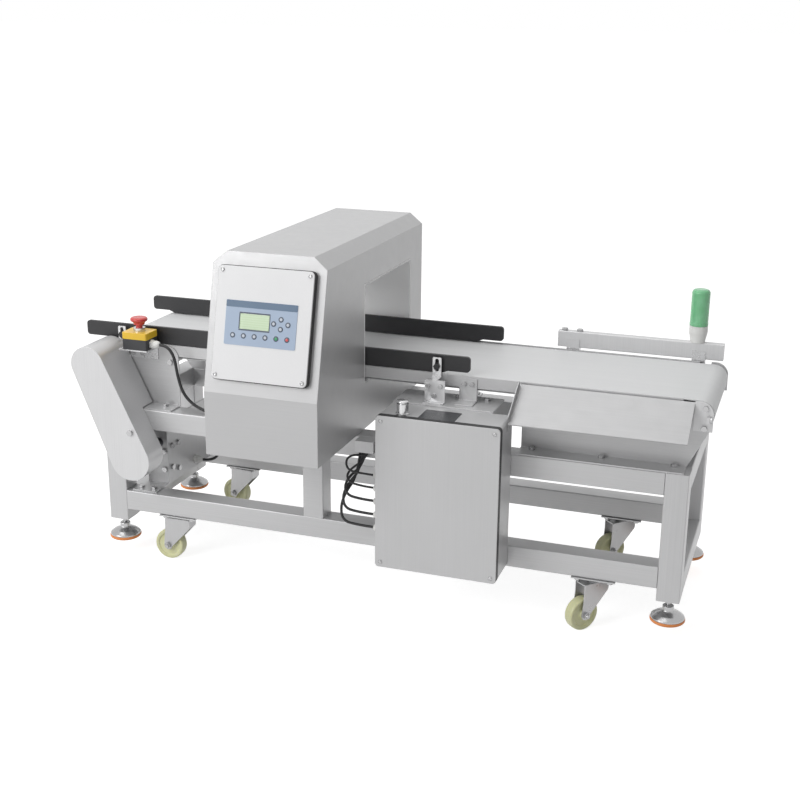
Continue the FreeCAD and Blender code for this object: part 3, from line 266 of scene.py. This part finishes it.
blackBox = moulded("blackHousing", (0.035, 0.036, 0.040), rough=0.42)
plateBlack = moulded("barePlate", (0.030, 0.032, 0.036), rough=0.3, vary=0.03)
orangePad = moulded("orangePad", (0.86, 0.30, 0.09), rough=0.5)
yellowLid = moulded("yellowLid", (0.88, 0.56, 0.03), rough=0.32, coat=0.2)
redCap = moulded("redCap", (0.62, 0.045, 0.04), rough=0.3, coat=0.3)
greenCap = moulded("greenKey", (0.03, 0.32, 0.12), rough=0.35)
whitePlastic = moulded("whitePlastic", (0.80, 0.80, 0.78), rough=0.4)
linerPlastic = moulded("linerPlastic", (0.93, 0.93, 0.93), rough=0.5, vary=0.02)
keypadFilm = moulded("keypadFilm", (0.37, 0.46, 0.60), rough=0.35, vary=0.02)
keypadHeader = moulded("keypadHeader", (0.085, 0.15, 0.24), rough=0.35, vary=0.03)
keyFilm = moulded("keyFilm", (0.56, 0.60, 0.66), rough=0.35, vary=0.03)
keyDark = moulded("keyRing", (0.05, 0.07, 0.11), rough=0.35)
greenLens = clearGreen("greenLens")
displayFilm = screenGlass("displayFilm")
copper = moulded("varnishedCopper", (0.45, 0.18, 0.07), rough=0.35, coat=0.4)
boardGreen = moulded("boardGreen", (0.02, 0.14, 0.06), rough=0.4)
motorPaint = moulded("motorPaint", (0.20, 0.21, 0.23), rough=0.42)
print("materials made")

nodeFinish = {
    "frame_legs": steelZ, "frame_rails": steelX, "detector_housing": headSteel,
    "electronics_door": whiteSteel,
    "slider_bed": steelX, "drive_side_plates": steelX, "idle_side_plates": steelX,
    "deflector_sheet": slopeSteel, "support_brackets": bracketSteel, "chain_guard": guardSteel,
    "motor_mount": steelZ, "control_box": boxSteel, "box_cover": boxSteel, "box_hanger": steelX,
    "cable_hood": steelZ, "back_bar": guardSteel, "roller_bearings": guardSteel,
    "machine_bolts": boltSteel, "cover_screws": boltSteel, "foot_inserts": zincSteel,
    "drive_roller": steelY, "idle_roller": steelY, "button_collars": brightSteel,
    "start_button": brightSteel, "caster_plates": zincSteel, "conveyor_belt": beltCoat,
    "cover_gaskets": blackRubberAndShade, "cables": blackRubberAndShade, "front_guide": blackStrip,
    "back_guide": blackStrip,
    "estop_base": blackBox, "estop_lid": yellowLid, "estop_button": redCap, "cable_glands": blackBox,
    "lamp_lens": greenLens, "lamp_base": whitePlastic, "tunnel_liner": linerPlastic,
    "keypad_panel": keypadFilm, "keypad_keys": keyFilm, "display_window": displayFilm,
    "drive_chain": oiledSteel, "roller_sprocket": oiledSteel, "motor_sprocket": oiledSteel,
    "search_coils": copper, "signal_board": boardGreen, "gear_motor": motorPaint,
    "control_unit": motorPaint,
}
for corner in corners4:
    nodeFinish["caster_fork_" + corner] = zincSteel
    nodeFinish["caster_wheel_" + corner] = cream
    nodeFinish["levelling_foot_" + corner] = bellSteel

for name, finish in nodeFinish.items():
    mesh = nodes[name].data
    mesh.materials.clear()
    mesh.materials.append(finish)
print("finishes given to", len(nodeFinish), "nodes")



def finished(name, mesh, finish, body, stands):
    # shades and places a piece
    mesh.materials.clear()
    mesh.materials.append(finish)
    mesh.polygons.foreach_set("use_smooth", np.ones(len(mesh.polygons), bool))
    mesh.set_sharp_from_angle(angle=math.radians(38))
    piece = bpy.data.objects.new(name, mesh)
    bpy.context.scene.collection.objects.link(piece)
    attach(piece, body)
    if stands:
        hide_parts(*stands)
    return piece


def surfaces(name, grids, finish, body, stands=()):
    # one mesh of several closed forms, each a grid of points (rings, points, 3) in layout millimetres
    points, quads, start = [], [], 0
    for grid in grids:
        rows, columns = grid.shape[:2]
        index = start + np.arange(rows * columns).reshape(rows, columns)
        onward = np.roll(index, -1, axis=1)
        quads.append(np.stack([index[:-1], onward[:-1], onward[1:], index[1:]], -1).reshape(-1, 4))
        points.append(grid.reshape(-1, 3))
        start += rows * columns
    mesh = bpy.data.meshes.new(name)
    mesh.from_pydata(metres(np.concatenate(points)).tolist(), [], np.concatenate(quads).tolist())
    form = bmesh.new()
    form.from_mesh(mesh)
    bmesh.ops.remove_doubles(form, verts=form.verts, dist=1e-6)
    bmesh.ops.recalc_face_normals(form, faces=form.faces)
    form.to_mesh(mesh)
    form.free()
    return finished(name, mesh, finish, body, stands)


def eased(line, cut=0.8, steps=4):
    # each inner corner becomes a parabola between points a short cut away: (1-t)^2 p + 2t(1-t) corner + t^2 q
    line = np.asarray(line, float)
    rounded = [line[0]]
    for before, corner, after in zip(line, line[1:], line[2:]):
        back, on = before - corner, after - corner
        p = corner + back * min(cut / np.linalg.norm(back), 0.45)
        q = corner + on * min(cut / np.linalg.norm(on), 0.45)
        rounded += [(1 - t) ** 2 * p + 2 * t * (1 - t) * corner + t * t * q
                    for t in np.linspace(0, 1, steps)]
    return np.array(rounded + [line[-1]])


def lathed(profile, centre, axis=(0, 0, 1), sides=48, ribs=(0, 0.0)):
    # point (i, j) is centre + radius i times (cos, sin) of angle j across the axis + height i along it;
    # ribs (count, depth) press flutes into the side: radius times 1 - depth * (1 - cos(count * angle)) / 2
    w = np.asarray(axis, float) / np.linalg.norm(axis)
    u = np.cross((0, 1, 0) if abs(w[1]) < 0.9 else (1, 0, 0), w)
    u /= np.linalg.norm(u)
    v = np.cross(w, u)
    angle = np.linspace(0, 2 * math.pi, sides, endpoint=False)[:, None]
    ring = np.cos(angle) * u + np.sin(angle) * v
    flute = 1 - ribs[1] * (0.5 - 0.5 * np.cos(ribs[0] * angle[:, 0]))
    profile = np.asarray(profile, float)
    radius = profile[:, :1] * flute[None, :]
    return np.asarray(centre) + radius[:, :, None] * ring[None] + profile[:, 1, None, None] * w


def roundBox(size, radius, inset=0.0, steps=6):
    # four quarter circles, each about its own corner's centre, all moved inwards by an inset
    width, height = size
    r = max(radius - inset, 0.05)
    gap = r + inset
    quarter = np.linspace(0, math.pi / 2, steps)
    centres = [(width - gap, height - gap), (gap, height - gap), (gap, gap), (width - gap, gap)]
    return np.concatenate([np.stack([cx + r * np.cos(quarter + turn * math.pi / 2),
                                     cy + r * np.sin(quarter + turn * math.pi / 2)], -1)
                           for turn, (cx, cy) in enumerate(centres)])


def raised(rings, origin, axes):
    # point (i, j) is origin + u and v of outline i's point j along the first two axes
    # + the height of outline i along the third
    local = np.stack([np.column_stack([ring, np.full(len(ring), height)]) for ring, height in rings])
    return np.asarray(origin, float) + local @ np.array(axes, float)


def plate(outline, origin, axes, low, high, edge=0.3):
    # a flat sheet of any outline that its middle can see, with eased edges on its upper side
    middle = outline.mean(axis=0)
    point = np.repeat(middle[None], len(outline), axis=0)
    inner = middle + (outline - middle) * (1 - edge / np.linalg.norm(outline - middle, axis=1, keepdims=True))
    rings = [(point, low), (outline, low), (outline, high - edge),
             ((outline + inner * 2) / 3, high - edge * 0.3), (inner, high), (point, high)]
    return raised(rings, origin, axes)


def band(size, radius, origin, axes, low, high, proud=0.4):
    # a black band that wraps the rim of a plate with round corners; it makes the door's seal, and painted
    # shade over the box cover's folded rim
    inner, outer = roundBox(size, radius, 2.0), roundBox(size, radius, -proud)
    return raised([(inner, low), (outer, low), (outer, high), (inner, high), (inner, low)], origin, axes)


def softened(node, width):
    # a copy of a CAD node with its seams merged and its sharp edges eased by a narrow round
    mesh = nodes[node].data.copy()
    form = bmesh.new()
    form.from_mesh(mesh)
    bmesh.ops.remove_doubles(form, verts=form.verts, dist=1e-5)
    bmesh.ops.dissolve_limit(form, angle_limit=math.radians(0.6), verts=form.verts, edges=form.edges)
    form.to_mesh(mesh)
    form.free()
    piece = finished(node + "_eased", mesh, nodeFinish[node], bodyOf[node], [node])
    bevel = piece.modifiers.new("edgeRound", "BEVEL")
    bevel.width = width / 1000
    bevel.segments = levels
    bevel.limit_method = "ANGLE"
    bevel.angle_limit = math.radians(35)
    bevel.harden_normals = True


# millimetres of edge radius for the sheet and tube parts
edgeRounds = {
    "detector_housing": 2.0, "electronics_door": 1.2, "box_cover": 0.8, "control_box": 0.8,
    "chain_guard": 1.0, "drive_side_plates": 0.6, "idle_side_plates": 0.6, "front_guide": 0.9,
    "back_guide": 0.9, "estop_base": 1.2, "estop_lid": 1.4, "motor_mount": 0.6, "deflector_sheet": 0.5,
    "support_brackets": 0.5, "box_hanger": 0.5, "cable_hood": 0.6, "slider_bed": 0.4,
    "roller_bearings": 0.5, "machine_bolts": 0.4, "tunnel_liner": 1.0, "caster_plates": 0.5,
    "frame_legs": 0.6, "frame_rails": 0.6, "back_bar": 0.5,
}
for name, width in edgeRounds.items():
    softened(name, width)
print("edges eased on", len(edgeRounds), "nodes")


# profiles of (radius, height above the floor side of the pad)
foot = {
    "bell": [(0, 8), (37, 8), (36.6, 12), (27, 19), (16, 24), (12.5, 27), (12.5, 36), (11, 37), (0, 37)],
    "stem": [(0, 37), (5, 37), (5, 118), (0, 118)],
    "pad": [(0, 0), (34.5, 0), (38, 3), (38, 8), (0, 8)],
}


def makeFeet():
    bell, stem, pad = eased(foot["bell"], 1.5), eased(foot["stem"], 0.5), eased(foot["pad"], 1.5)
    for corner in corners4:
        node = "levelling_foot_" + corner
        low, high = lowHigh(node)
        centre = ((low[0] + high[0]) / 2, (low[1] + high[1]) / 2, low[2])
        body = bodyOf[node]
        forms = [lathed(bell, centre), lathed(stem, centre)]
        surfaces("footBell_" + corner, forms, bellSteel, body, [node])
        surfaces("footPad_" + corner, [lathed(pad, centre)], orangePad, body, [node])


# half profile of (radius, distance from the middle plane): hub, dished side and crowned tread
wheel = {
    "half": [(5.05, 14.2), (11, 14.2), (12.2, 9.5), (17, 8.5), (27, 8.5), (29, 11.6), (34.5, 12),
             (36.7, 10.4), (37.5, 6)],
    "ease": 1.4,
    "sides": 64,
}


def makeWheels():
    profile = eased([(r, -h) for r, h in wheel["half"]] + wheel["half"][::-1], wheel["ease"])
    for joint in behaviour["joints"]:
        if not joint["name"].startswith("wheel_"):
            continue
        corner = joint["name"][len("wheel_"):-len("_spin")]
        node = "caster_wheel_" + corner
        low, high = lowHigh(node)
        cast = lathed(profile, (low + high) / 2, joint["axis"], wheel["sides"])
        surfaces("castWheel_" + corner, [cast], cream, bodyOf[node], [node])


# pressed fork: cheeks that taper to the axle, as (distance behind the swivel axis, height)
fork = {
    "cheek": [(7, 109.5), (-26, 109.5), (-26, 88), (23, 35.5), (27, 27.5), (35, 25.5), (43, 29.5),
              (45, 37.5), (40, 86), (40, 109.5), (7, 109.5)],
    "halfGap": 14.5,
    "sheet": 2.5,
    "race": [(0, 107), (13.5, 107), (20, 109), (20, 110.6), (0, 110.6)],
    "nut": [(0, 17), (8, 17), (8, 22), (7, 23), (0, 23)],
    "axle": [(0, -26), (4.5, -26), (5, -25), (5, 25), (4.5, 26), (0, 26)],
}


def makeForks():
    gap, sheet = fork["halfGap"], fork["sheet"]
    cheek = eased(fork["cheek"], 4.0)[:-1]
    crown = roundBox((66.0, 2 * gap), 3.0) - [26.0, gap]
    skirt = roundBox((2 * gap, 22.0), 1.0) + [-gap, 87.0]
    race = eased(fork["race"], 0.5)
    for joint in behaviour["joints"]:
        if not joint["name"].endswith("_swivel"):
            continue
        corner = joint["name"][len("caster_"):-len("_swivel")]
        node = "caster_fork_" + corner
        axis = (np.array(joint["pos_m"]) - frameCorner) * 1000 * [1, 1, 0]
        low, high = lowHigh("caster_wheel_" + corner)
        hub = (low + high) / 2
        along = (hub - axis) * [1, 1, 0]
        along /= np.linalg.norm(along)
        z = np.array([0.0, 0.0, 1.0])
        across = np.cross(z, along)
        forms = [plate(cheek, axis + across * side * gap, (along, z, across * side), 0.0, sheet)
                 for side in (-1, 1)]
        forms.append(plate(crown, axis, (along, across, z), 106.8, 109.6))
        forms.append(plate(skirt, axis - along * 23.5, (across, z, -along), 0.0, sheet))
        forms.append(lathed(race, axis))
        forms += [lathed(fork["nut"], hub, across * side, 6) for side in (-1, 1)]
        forms.append(lathed(fork["axle"], hub, across, 24))
        surfaces("pressedFork_" + corner, forms, zincSteel, bodyOf[node], [node])


makeFeet()
makeWheels()
makeForks()
print("feet and casters made")

# the panel leans back; u runs along X, v up the panel and w out of it
headLean = 0.242
slope = math.hypot(1.0, headLean)
panelU = np.array([1.0, 0.0, 0.0])
panelV = np.array([0.0, headLean, 1.0]) / slope
panelW = np.array([0.0, -1.0, headLean]) / slope
panelAxes = (panelU, panelV, panelW)

# places on the keypad count from its lower left corner
keypad = {
    "thickness": 1.0,
    "header": (160.0, 14.0),
    "headerUp": 78.0,
    "frameBars": [(31, 31, (70, 3)), (31, 66, (70, 3)), (31, 34, (2, 32)), (99, 34, (2, 32))],
    "keyRow": [(19 + 24.4 * i, 20.0) for i in range(6)],
    "arrows": [(125.0, 60.0), (109.0, 50.0), (141.0, 50.0), (125.0, 40.0)],
    "ring": [(0, -0.4), (5.8, -0.4), (5.8, 0.3), (5.2, 0.5), (0, 0.5)],
    "cap": [(0, 0), (3.3, 0), (3.2, 0.6), (2.4, 0.78), (0, 0.8)],
}
covers = {
    "doorDepth": 9.0,
    "doorCorner": 10.0,
    "doorSeal": (-6.0, 5.5, 1.5),       # from, to and how far it stands out
    "doorScrewInset": 9.0,
    "boxCorner": 8.0,
    # the box band is painted shade: black laid over the cover's folded rim where it lies in shade
    "boxRimShade": (2.6, 17.0, 0.4),
    "boxScrewInset": 12.0,
    "screwHead": [(0, 0), (4.5, 0), (4.5, 1.4), (3.4, 3.0), (2.2, 3.3), (2.0, 1.4), (0, 1.4)],
}


def panelCorner(node, thickness):
    # the lower left corner of the back of a plate that lies on the leaning panel
    low = lowHigh(node)[0]
    return np.array([low[0], low[1] - panelW[1] * thickness, low[2]])


def makeKeypad():
    thick = keypad["thickness"]
    face = panelCorner("keypad_panel", thick) + panelW * thick
    corner = face + panelV * keypad["headerUp"]
    header = plate(roundBox(keypad["header"], 2.0), corner, panelAxes, -0.3, 0.25, 0.1)
    surfaces("keypadHeader", [header], keypadHeader, "machine")
    frameLine = [plate(roundBox(size, 1.2), face + panelU * u + panelV * v, panelAxes, -0.2, 0.3, 0.1)
                 for u, v, size in keypad["frameBars"]]
    surfaces("displayFrame", frameLine, keyDark, "machine")
    ring, cap = eased(keypad["ring"], 0.3), eased(keypad["cap"], 0.3)
    spots = [face + panelU * u + panelV * v for u, v in keypad["keyRow"] + keypad["arrows"]]
    surfaces("keyRings", [lathed(ring, p, panelW, 32) for p in spots], keyDark, "machine", ["keypad_keys"])
    finishes = [keyFilm] * 4 + [greenCap, redCap] + [keyFilm] * 4
    for number, (spot, finish) in enumerate(zip(spots, finishes)):
        surfaces("keyCap_%d" % number, [lathed(cap, spot, panelW, 32)], finish, "machine", ["keypad_keys"])


def makeCoverParts():
    # screws of both covers, the black seal that wraps the door's rim, and a black band of painted shade over
    # the box cover's folded rim
    depth, inset = covers["doorDepth"], covers["doorScrewInset"]
    screw = eased(covers["screwHead"], 0.5)
    back = panelCorner("electronics_door", depth)
    corner = back + panelW * depth
    low, high = lowHigh("electronics_door")
    width = high[0] - low[0]
    height = (high[2] - low[2] - depth * panelW[2]) / panelV[2]
    sealAndShadeBands = [band((width, height), covers["doorCorner"], back, panelAxes, *covers["doorSeal"])]
    heads = [lathed(screw, corner + panelU * u + panelV * v, panelW, 32)
             for u in (inset, width - inset) for v in (inset, height - inset)]
    low, high = lowHigh("box_cover")
    inset = covers["boxScrewInset"]
    heads += [lathed(screw, (x, low[1], z), (0, -1, 0), 32)
              for x in (low[0] + inset, high[0] - inset) for z in (low[2] + inset, high[2] - inset)]
    surfaces("coverScrewHeads", heads, boltSteel, "machine", ["cover_screws"])
    boxAxes = ((1, 0, 0), (0, 0, 1), (0, 1, 0))
    size = (high[0] - low[0], high[2] - low[2])
    # painted shade: a black band over the box cover's folded rim, standing in for its shade
    sealAndShadeBands.append(band(size, covers["boxCorner"], low, boxAxes, *covers["boxRimShade"]))
    surfaces("coverSealAndRimShade", sealAndShadeBands, blackRubberAndShade, "machine")


makeKeypad()
makeCoverParts()
print("keypad, screws and seals made")


def middle(node):
    low, high = lowHigh(node)
    return np.array([(low[0] + high[0]) / 2, (low[1] + high[1]) / 2, low[2]])


# heights count from the underside of each button's stem
buttons = {
    "stop": [(0, 0), (8, 0), (8, 12), (13, 12), (13.6, 17), (19, 20.5), (20, 22), (20, 26), (18, 28.3),
             (14, 29.3), (0, 28.6)],
    "start": [(0, 0), (10, 0), (10, 15), (13.8, 15.2), (14.2, 17.2), (12.6, 19.2), (7, 20), (0, 20)],
}


def makeButtons():
    stop = lathed(eased(buttons["stop"], 1.2), middle("estop_button"), sides=64)
    surfaces("stopHead", [stop], redCap, bodyOf["estop_button"], ["estop_button"])
    start = lathed(eased(buttons["start"], 0.8), middle("start_button"))
    surfaces("startCap", [start], brightSteel, bodyOf["start_button"], ["start_button"])


lampShape = {
    "base": [(0, 0), (16.5, 0), (17, 4), (20.6, 21), (21, 24), (21, 34), (20.4, 34.6), (20.4, 35.6), (21, 36),
             (21, 39), (0, 39)],
    "bulb": [(0, 38.5), (10, 38.5), (10, 52), (8, 78), (4, 84), (0, 85)],
    "ribs": (36, 0.018),
}


def makeLamp():
    low, high = lowHigh("lamp_lens")
    tall = high[2] - low[2]
    outer = [(17.6, 0), (21, 0), (21, 6), (20.5, 8), (20.5, tall - 7), (17.5, tall - 1.5), (12, tall),
             (0, tall)]
    inner = [(0, tall - 3), (10, tall - 3), (16.5, tall - 6), (17.6, tall - 12), (17.6, 0)]
    lens = lathed(eased(outer + inner, 1.6), middle("lamp_lens"), sides=144, ribs=lampShape["ribs"])
    surfaces("lampLens", [lens], greenLens, bodyOf["lamp_lens"], ["lamp_lens"])
    under = middle("lamp_base")
    forms = [lathed(eased(lampShape["base"], 0.6), under, sides=64),
             lathed(eased(lampShape["bulb"], 2.0), under)]
    surfaces("lampBase", forms, whitePlastic, bodyOf["lamp_base"], ["lamp_base"])


makeButtons()
makeLamp()
print("buttons and lamp made")

# a gland points along its axis from the wall; heights along it
gland = {
    "nut": [(0, 0), (11, 0), (11, 7), (0, 7)],
    "cap": [(0, 7), (9, 7), (9, 15), (8, 19), (6, 22), (4.5, 23), (0, 23)],
    "length": 23.0,
}
boxLow, boxHigh = lowHigh("control_box")
headLeft = lowHigh("detector_housing")[0][0]
glandHeights = (189.0, 220.0, 252.0, 283.0, 313.0)
boxGlands = [(boxLow[0], boxLow[1] + 45.0, z) for z in glandHeights]
motorGland = (127.0, 207.0, 191.0)
stopLow, stopHigh = lowHigh("estop_base")
stopGland = (stopHigh[0], stopLow[1] + 22.0, stopLow[2] + 12.5)
headGlands = [(headLeft, 17.0, 402.0), (headLeft, 207.0, 412.0)]


def makeGlands():
    nut, cap = eased(gland["nut"], 0.6), eased(gland["cap"], 1.0)
    pale = [(motorGland, (1, 0, 0)), (stopGland, (1, 0, 0))] + [(spot, (-1, 0, 0)) for spot in boxGlands]
    dark = [(spot, (-1, 0, 0)) for spot in headGlands]
    for name, spots, finish in (("paleGlands", pale, whitePlastic), ("darkGlands", dark, blackBox)):
        forms = [lathed(nut, spot, axis, 6) for spot, axis in spots]
        forms += [lathed(cap, spot, axis, 48, (24, 0.05)) for spot, axis in spots]
        surfaces(name, forms, finish, "machine", ["cable_glands"])


def smoothCable(name, route, radius):
    # a round cable on one smooth curve through its gland exits
    data = bpy.data.curves.new(name, "CURVE")
    data.dimensions = "3D"
    spline = data.splines.new("NURBS")
    spline.points.add(len(route) - 1)
    for point, place in zip(spline.points, metres(route)):
        point.co = (*place, 1.0)
    spline.order_u = 3
    spline.use_endpoint_u = True
    data.resolution_u = 12
    data.bevel_depth = radius / 1000
    data.bevel_resolution = 5
    data.use_fill_caps = True
    data.materials.append(blackRubberAndShade)
    piece = bpy.data.objects.new(name, data)
    bpy.context.scene.collection.objects.link(piece)
    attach(piece, "machine")
    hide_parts("cables")


def makeCables():
    out = gland["length"]
    x, y, z = stopGland
    hx, hy, hz = headGlands[0]
    railTop = lowHigh("frame_rails")[1][2] + 4.0
    smoothCable("stopCable", [
        (x + out, y, z), (x + 41, y, z), (x + 60, y - 1, z - 24), (x + 67, y - 2, z - 72),
        (x + 80, y - 1, z - 116), (x + 114, y, railTop + 9), (x + 160, y - 3, railTop + 1),
        (x + 208, y - 1, railTop + 5), (hx - 44, hy, hz), (hx - out, hy, hz)], 3.5)
    x, y, z = motorGland
    hx, hy, hz = headGlands[1]
    smoothCable("motorCable", [
        (x + out, y, z), (x + 52, y, z), (x + 78, y, z + 34), (x + 92, y, z + 94),
        (x + 124, y, z + 154), (x + 178, y, z + 206), (hx - 52, hy, hz), (hx - out, hy, hz)], 3.5)
    hoodLow, hoodHigh = lowHigh("cable_hood")
    for number, (x, y, z) in enumerate(boxGlands):
        top = hoodLow[0] + 8.0 + number * 7.0
        left = 616.0 + number * 5.0
        drop = hoodHigh[2] - 2.0 - z
        bends = [(top - 1, -19.0, z + drop * 0.6), (left + 8, -34.0, z + max(drop * 0.28, 26.0)),
                 (left + 14, y - 4, z + 8), (left + 50, y, z)]
        if number == len(boxGlands) - 1:
            bends = [(top, -19.0, z + drop * 0.5), (638.0, -35.0, z + 36), (641.0, y - 2, z + 4),
                     (684.0, y, z)]
        route = [(top, -16.0, z + drop)] + bends + [(x - out, y, z)]
        smoothCable("controlCable_%d" % number, route, 3.0 if number < 3 else 2.5)


makeGlands()
makeCables()
print("glands and cables made")


smallPlates = {"label": (80.0, 62.0), "labelX": 819.0, "upstandHeight": 14.0, "slopeRun": (0.0, -96.0, -60.0)}


def makePlates():
    # the bare plate on the box top, and the upstand at the left edge of the sloping sheet
    low, high = lowHigh("control_box")
    corner = (smallPlates["labelX"], low[1] + 3, high[2])
    label = plate(roundBox(smallPlates["label"], 2.0), corner, np.eye(3), 0.02, 0.9)
    surfaces("barePlate", [label], plateBlack, "machine")
    low, high = lowHigh("deflector_sheet")
    across = np.array(smallPlates["slopeRun"])
    tall = smallPlates["upstandHeight"]
    length = np.linalg.norm(across)
    v = across / length
    w = np.array([1.0, 0.0, 0.0])
    u = np.cross(v, w)
    start = np.array([low[0], high[1] - 2.0, high[2]]) + v * 3
    corner = start - (0 if u[2] > 0 else tall) * u
    upstand = plate(roundBox((tall, length - 6.0), 4.0), corner, (u, v, w), 0.0, 2.0)
    surfaces("slopeUpstand", [upstand], slopeSteel, "machine")


makePlates()
print("plates made")


def seenDirectly(tree):
    # 1 for what the camera sees, also through glass or in a reflection
    path = put(tree, "ShaderNodeLightPath")
    total = path.outputs["Is Camera Ray"]
    for kind in ("Is Glossy Ray", "Is Transmission Ray"):
        either = put(tree, "ShaderNodeMath", operation="MAXIMUM")
        tree.links.new(total, either.inputs[0])
        tree.links.new(path.outputs[kind], either.inputs[1])
        total = either.outputs[0]
    return total


stage = {"floorSize": 60.0, "floorGlow": 0.80, "skyLight": 0.36}


def makeStage():
    size = stage["floorSize"]
    mesh = bpy.data.meshes.new("paleFloor")
    spots = [(-size, -size, 0), (size, -size, 0), (size, size, 0), (-size, size, 0)]
    mesh.from_pydata(spots, [], [(0, 1, 2, 3)])
    floor = bpy.data.objects.new("paleFloor", mesh)
    bpy.context.scene.collection.objects.link(floor)
    mat, tree, shader = newMaterial("floorWhite")
    shader.inputs["Base Color"].default_value = (0.6, 0.6, 0.6, 1)
    shader.inputs["Roughness"].default_value = 0.95
    shader.inputs["Specular IOR Level"].default_value = 0.0
    glow = put(tree, "ShaderNodeEmission", Strength=stage["floorGlow"])
    both = put(tree, "ShaderNodeAddShader")
    tree.links.new(shader.outputs[0], both.inputs[0])
    tree.links.new(glow.outputs[0], both.inputs[1])
    mix = put(tree, "ShaderNodeMixShader")
    tree.links.new(seenDirectly(tree), mix.inputs[0])
    tree.links.new(shader.outputs[0], mix.inputs[1])
    tree.links.new(both.outputs[0], mix.inputs[2])
    tree.links.new(mix.outputs[0], tree.nodes["Material Output"].inputs["Surface"])
    mesh.materials.append(mat)


def makeWorld():
    world = bpy.data.worlds.new("studio")
    bpy.context.scene.world = world
    world.use_nodes = True
    tree = world.node_tree
    tree.nodes.clear()
    plain = put(tree, "ShaderNodeBackground", Strength=stage["skyLight"])
    white = put(tree, "ShaderNodeBackground", Strength=1.0)
    plain.inputs["Color"].default_value = (1, 1, 1, 1)
    white.inputs["Color"].default_value = (1, 1, 1, 1)
    mix = put(tree, "ShaderNodeMixShader")
    tree.links.new(seenDirectly(tree), mix.inputs[0])
    tree.links.new(plain.outputs[0], mix.inputs[1])
    tree.links.new(white.outputs[0], mix.inputs[2])
    out = put(tree, "ShaderNodeOutputWorld")
    tree.links.new(mix.outputs[0], out.inputs["Surface"])


def softLight(name, place, target, size, power):
    data = bpy.data.lights.new(name, "AREA")
    data.shape = "SQUARE"
    data.size = size
    data.energy = power
    lamp = bpy.data.objects.new(name, data)
    way = Vector(target) - Vector(place)
    lamp.matrix_world = Matrix.Translation(Vector(place)) @ way.to_track_quat("-Z", "Y").to_matrix().to_4x4()
    bpy.context.scene.collection.objects.link(lamp)


makeStage()
makeWorld()
softLight("keyLight", (-2.6, -3.6, 2.6), (0, 0, 0.4), 2.5, 112)
softLight("topLight", (-0.6, 0.2, 3.8), (0, 0, 0.4), 3.0, 52)
bpy.context.scene.view_settings.view_transform = "Standard"
print("stage and lights set")
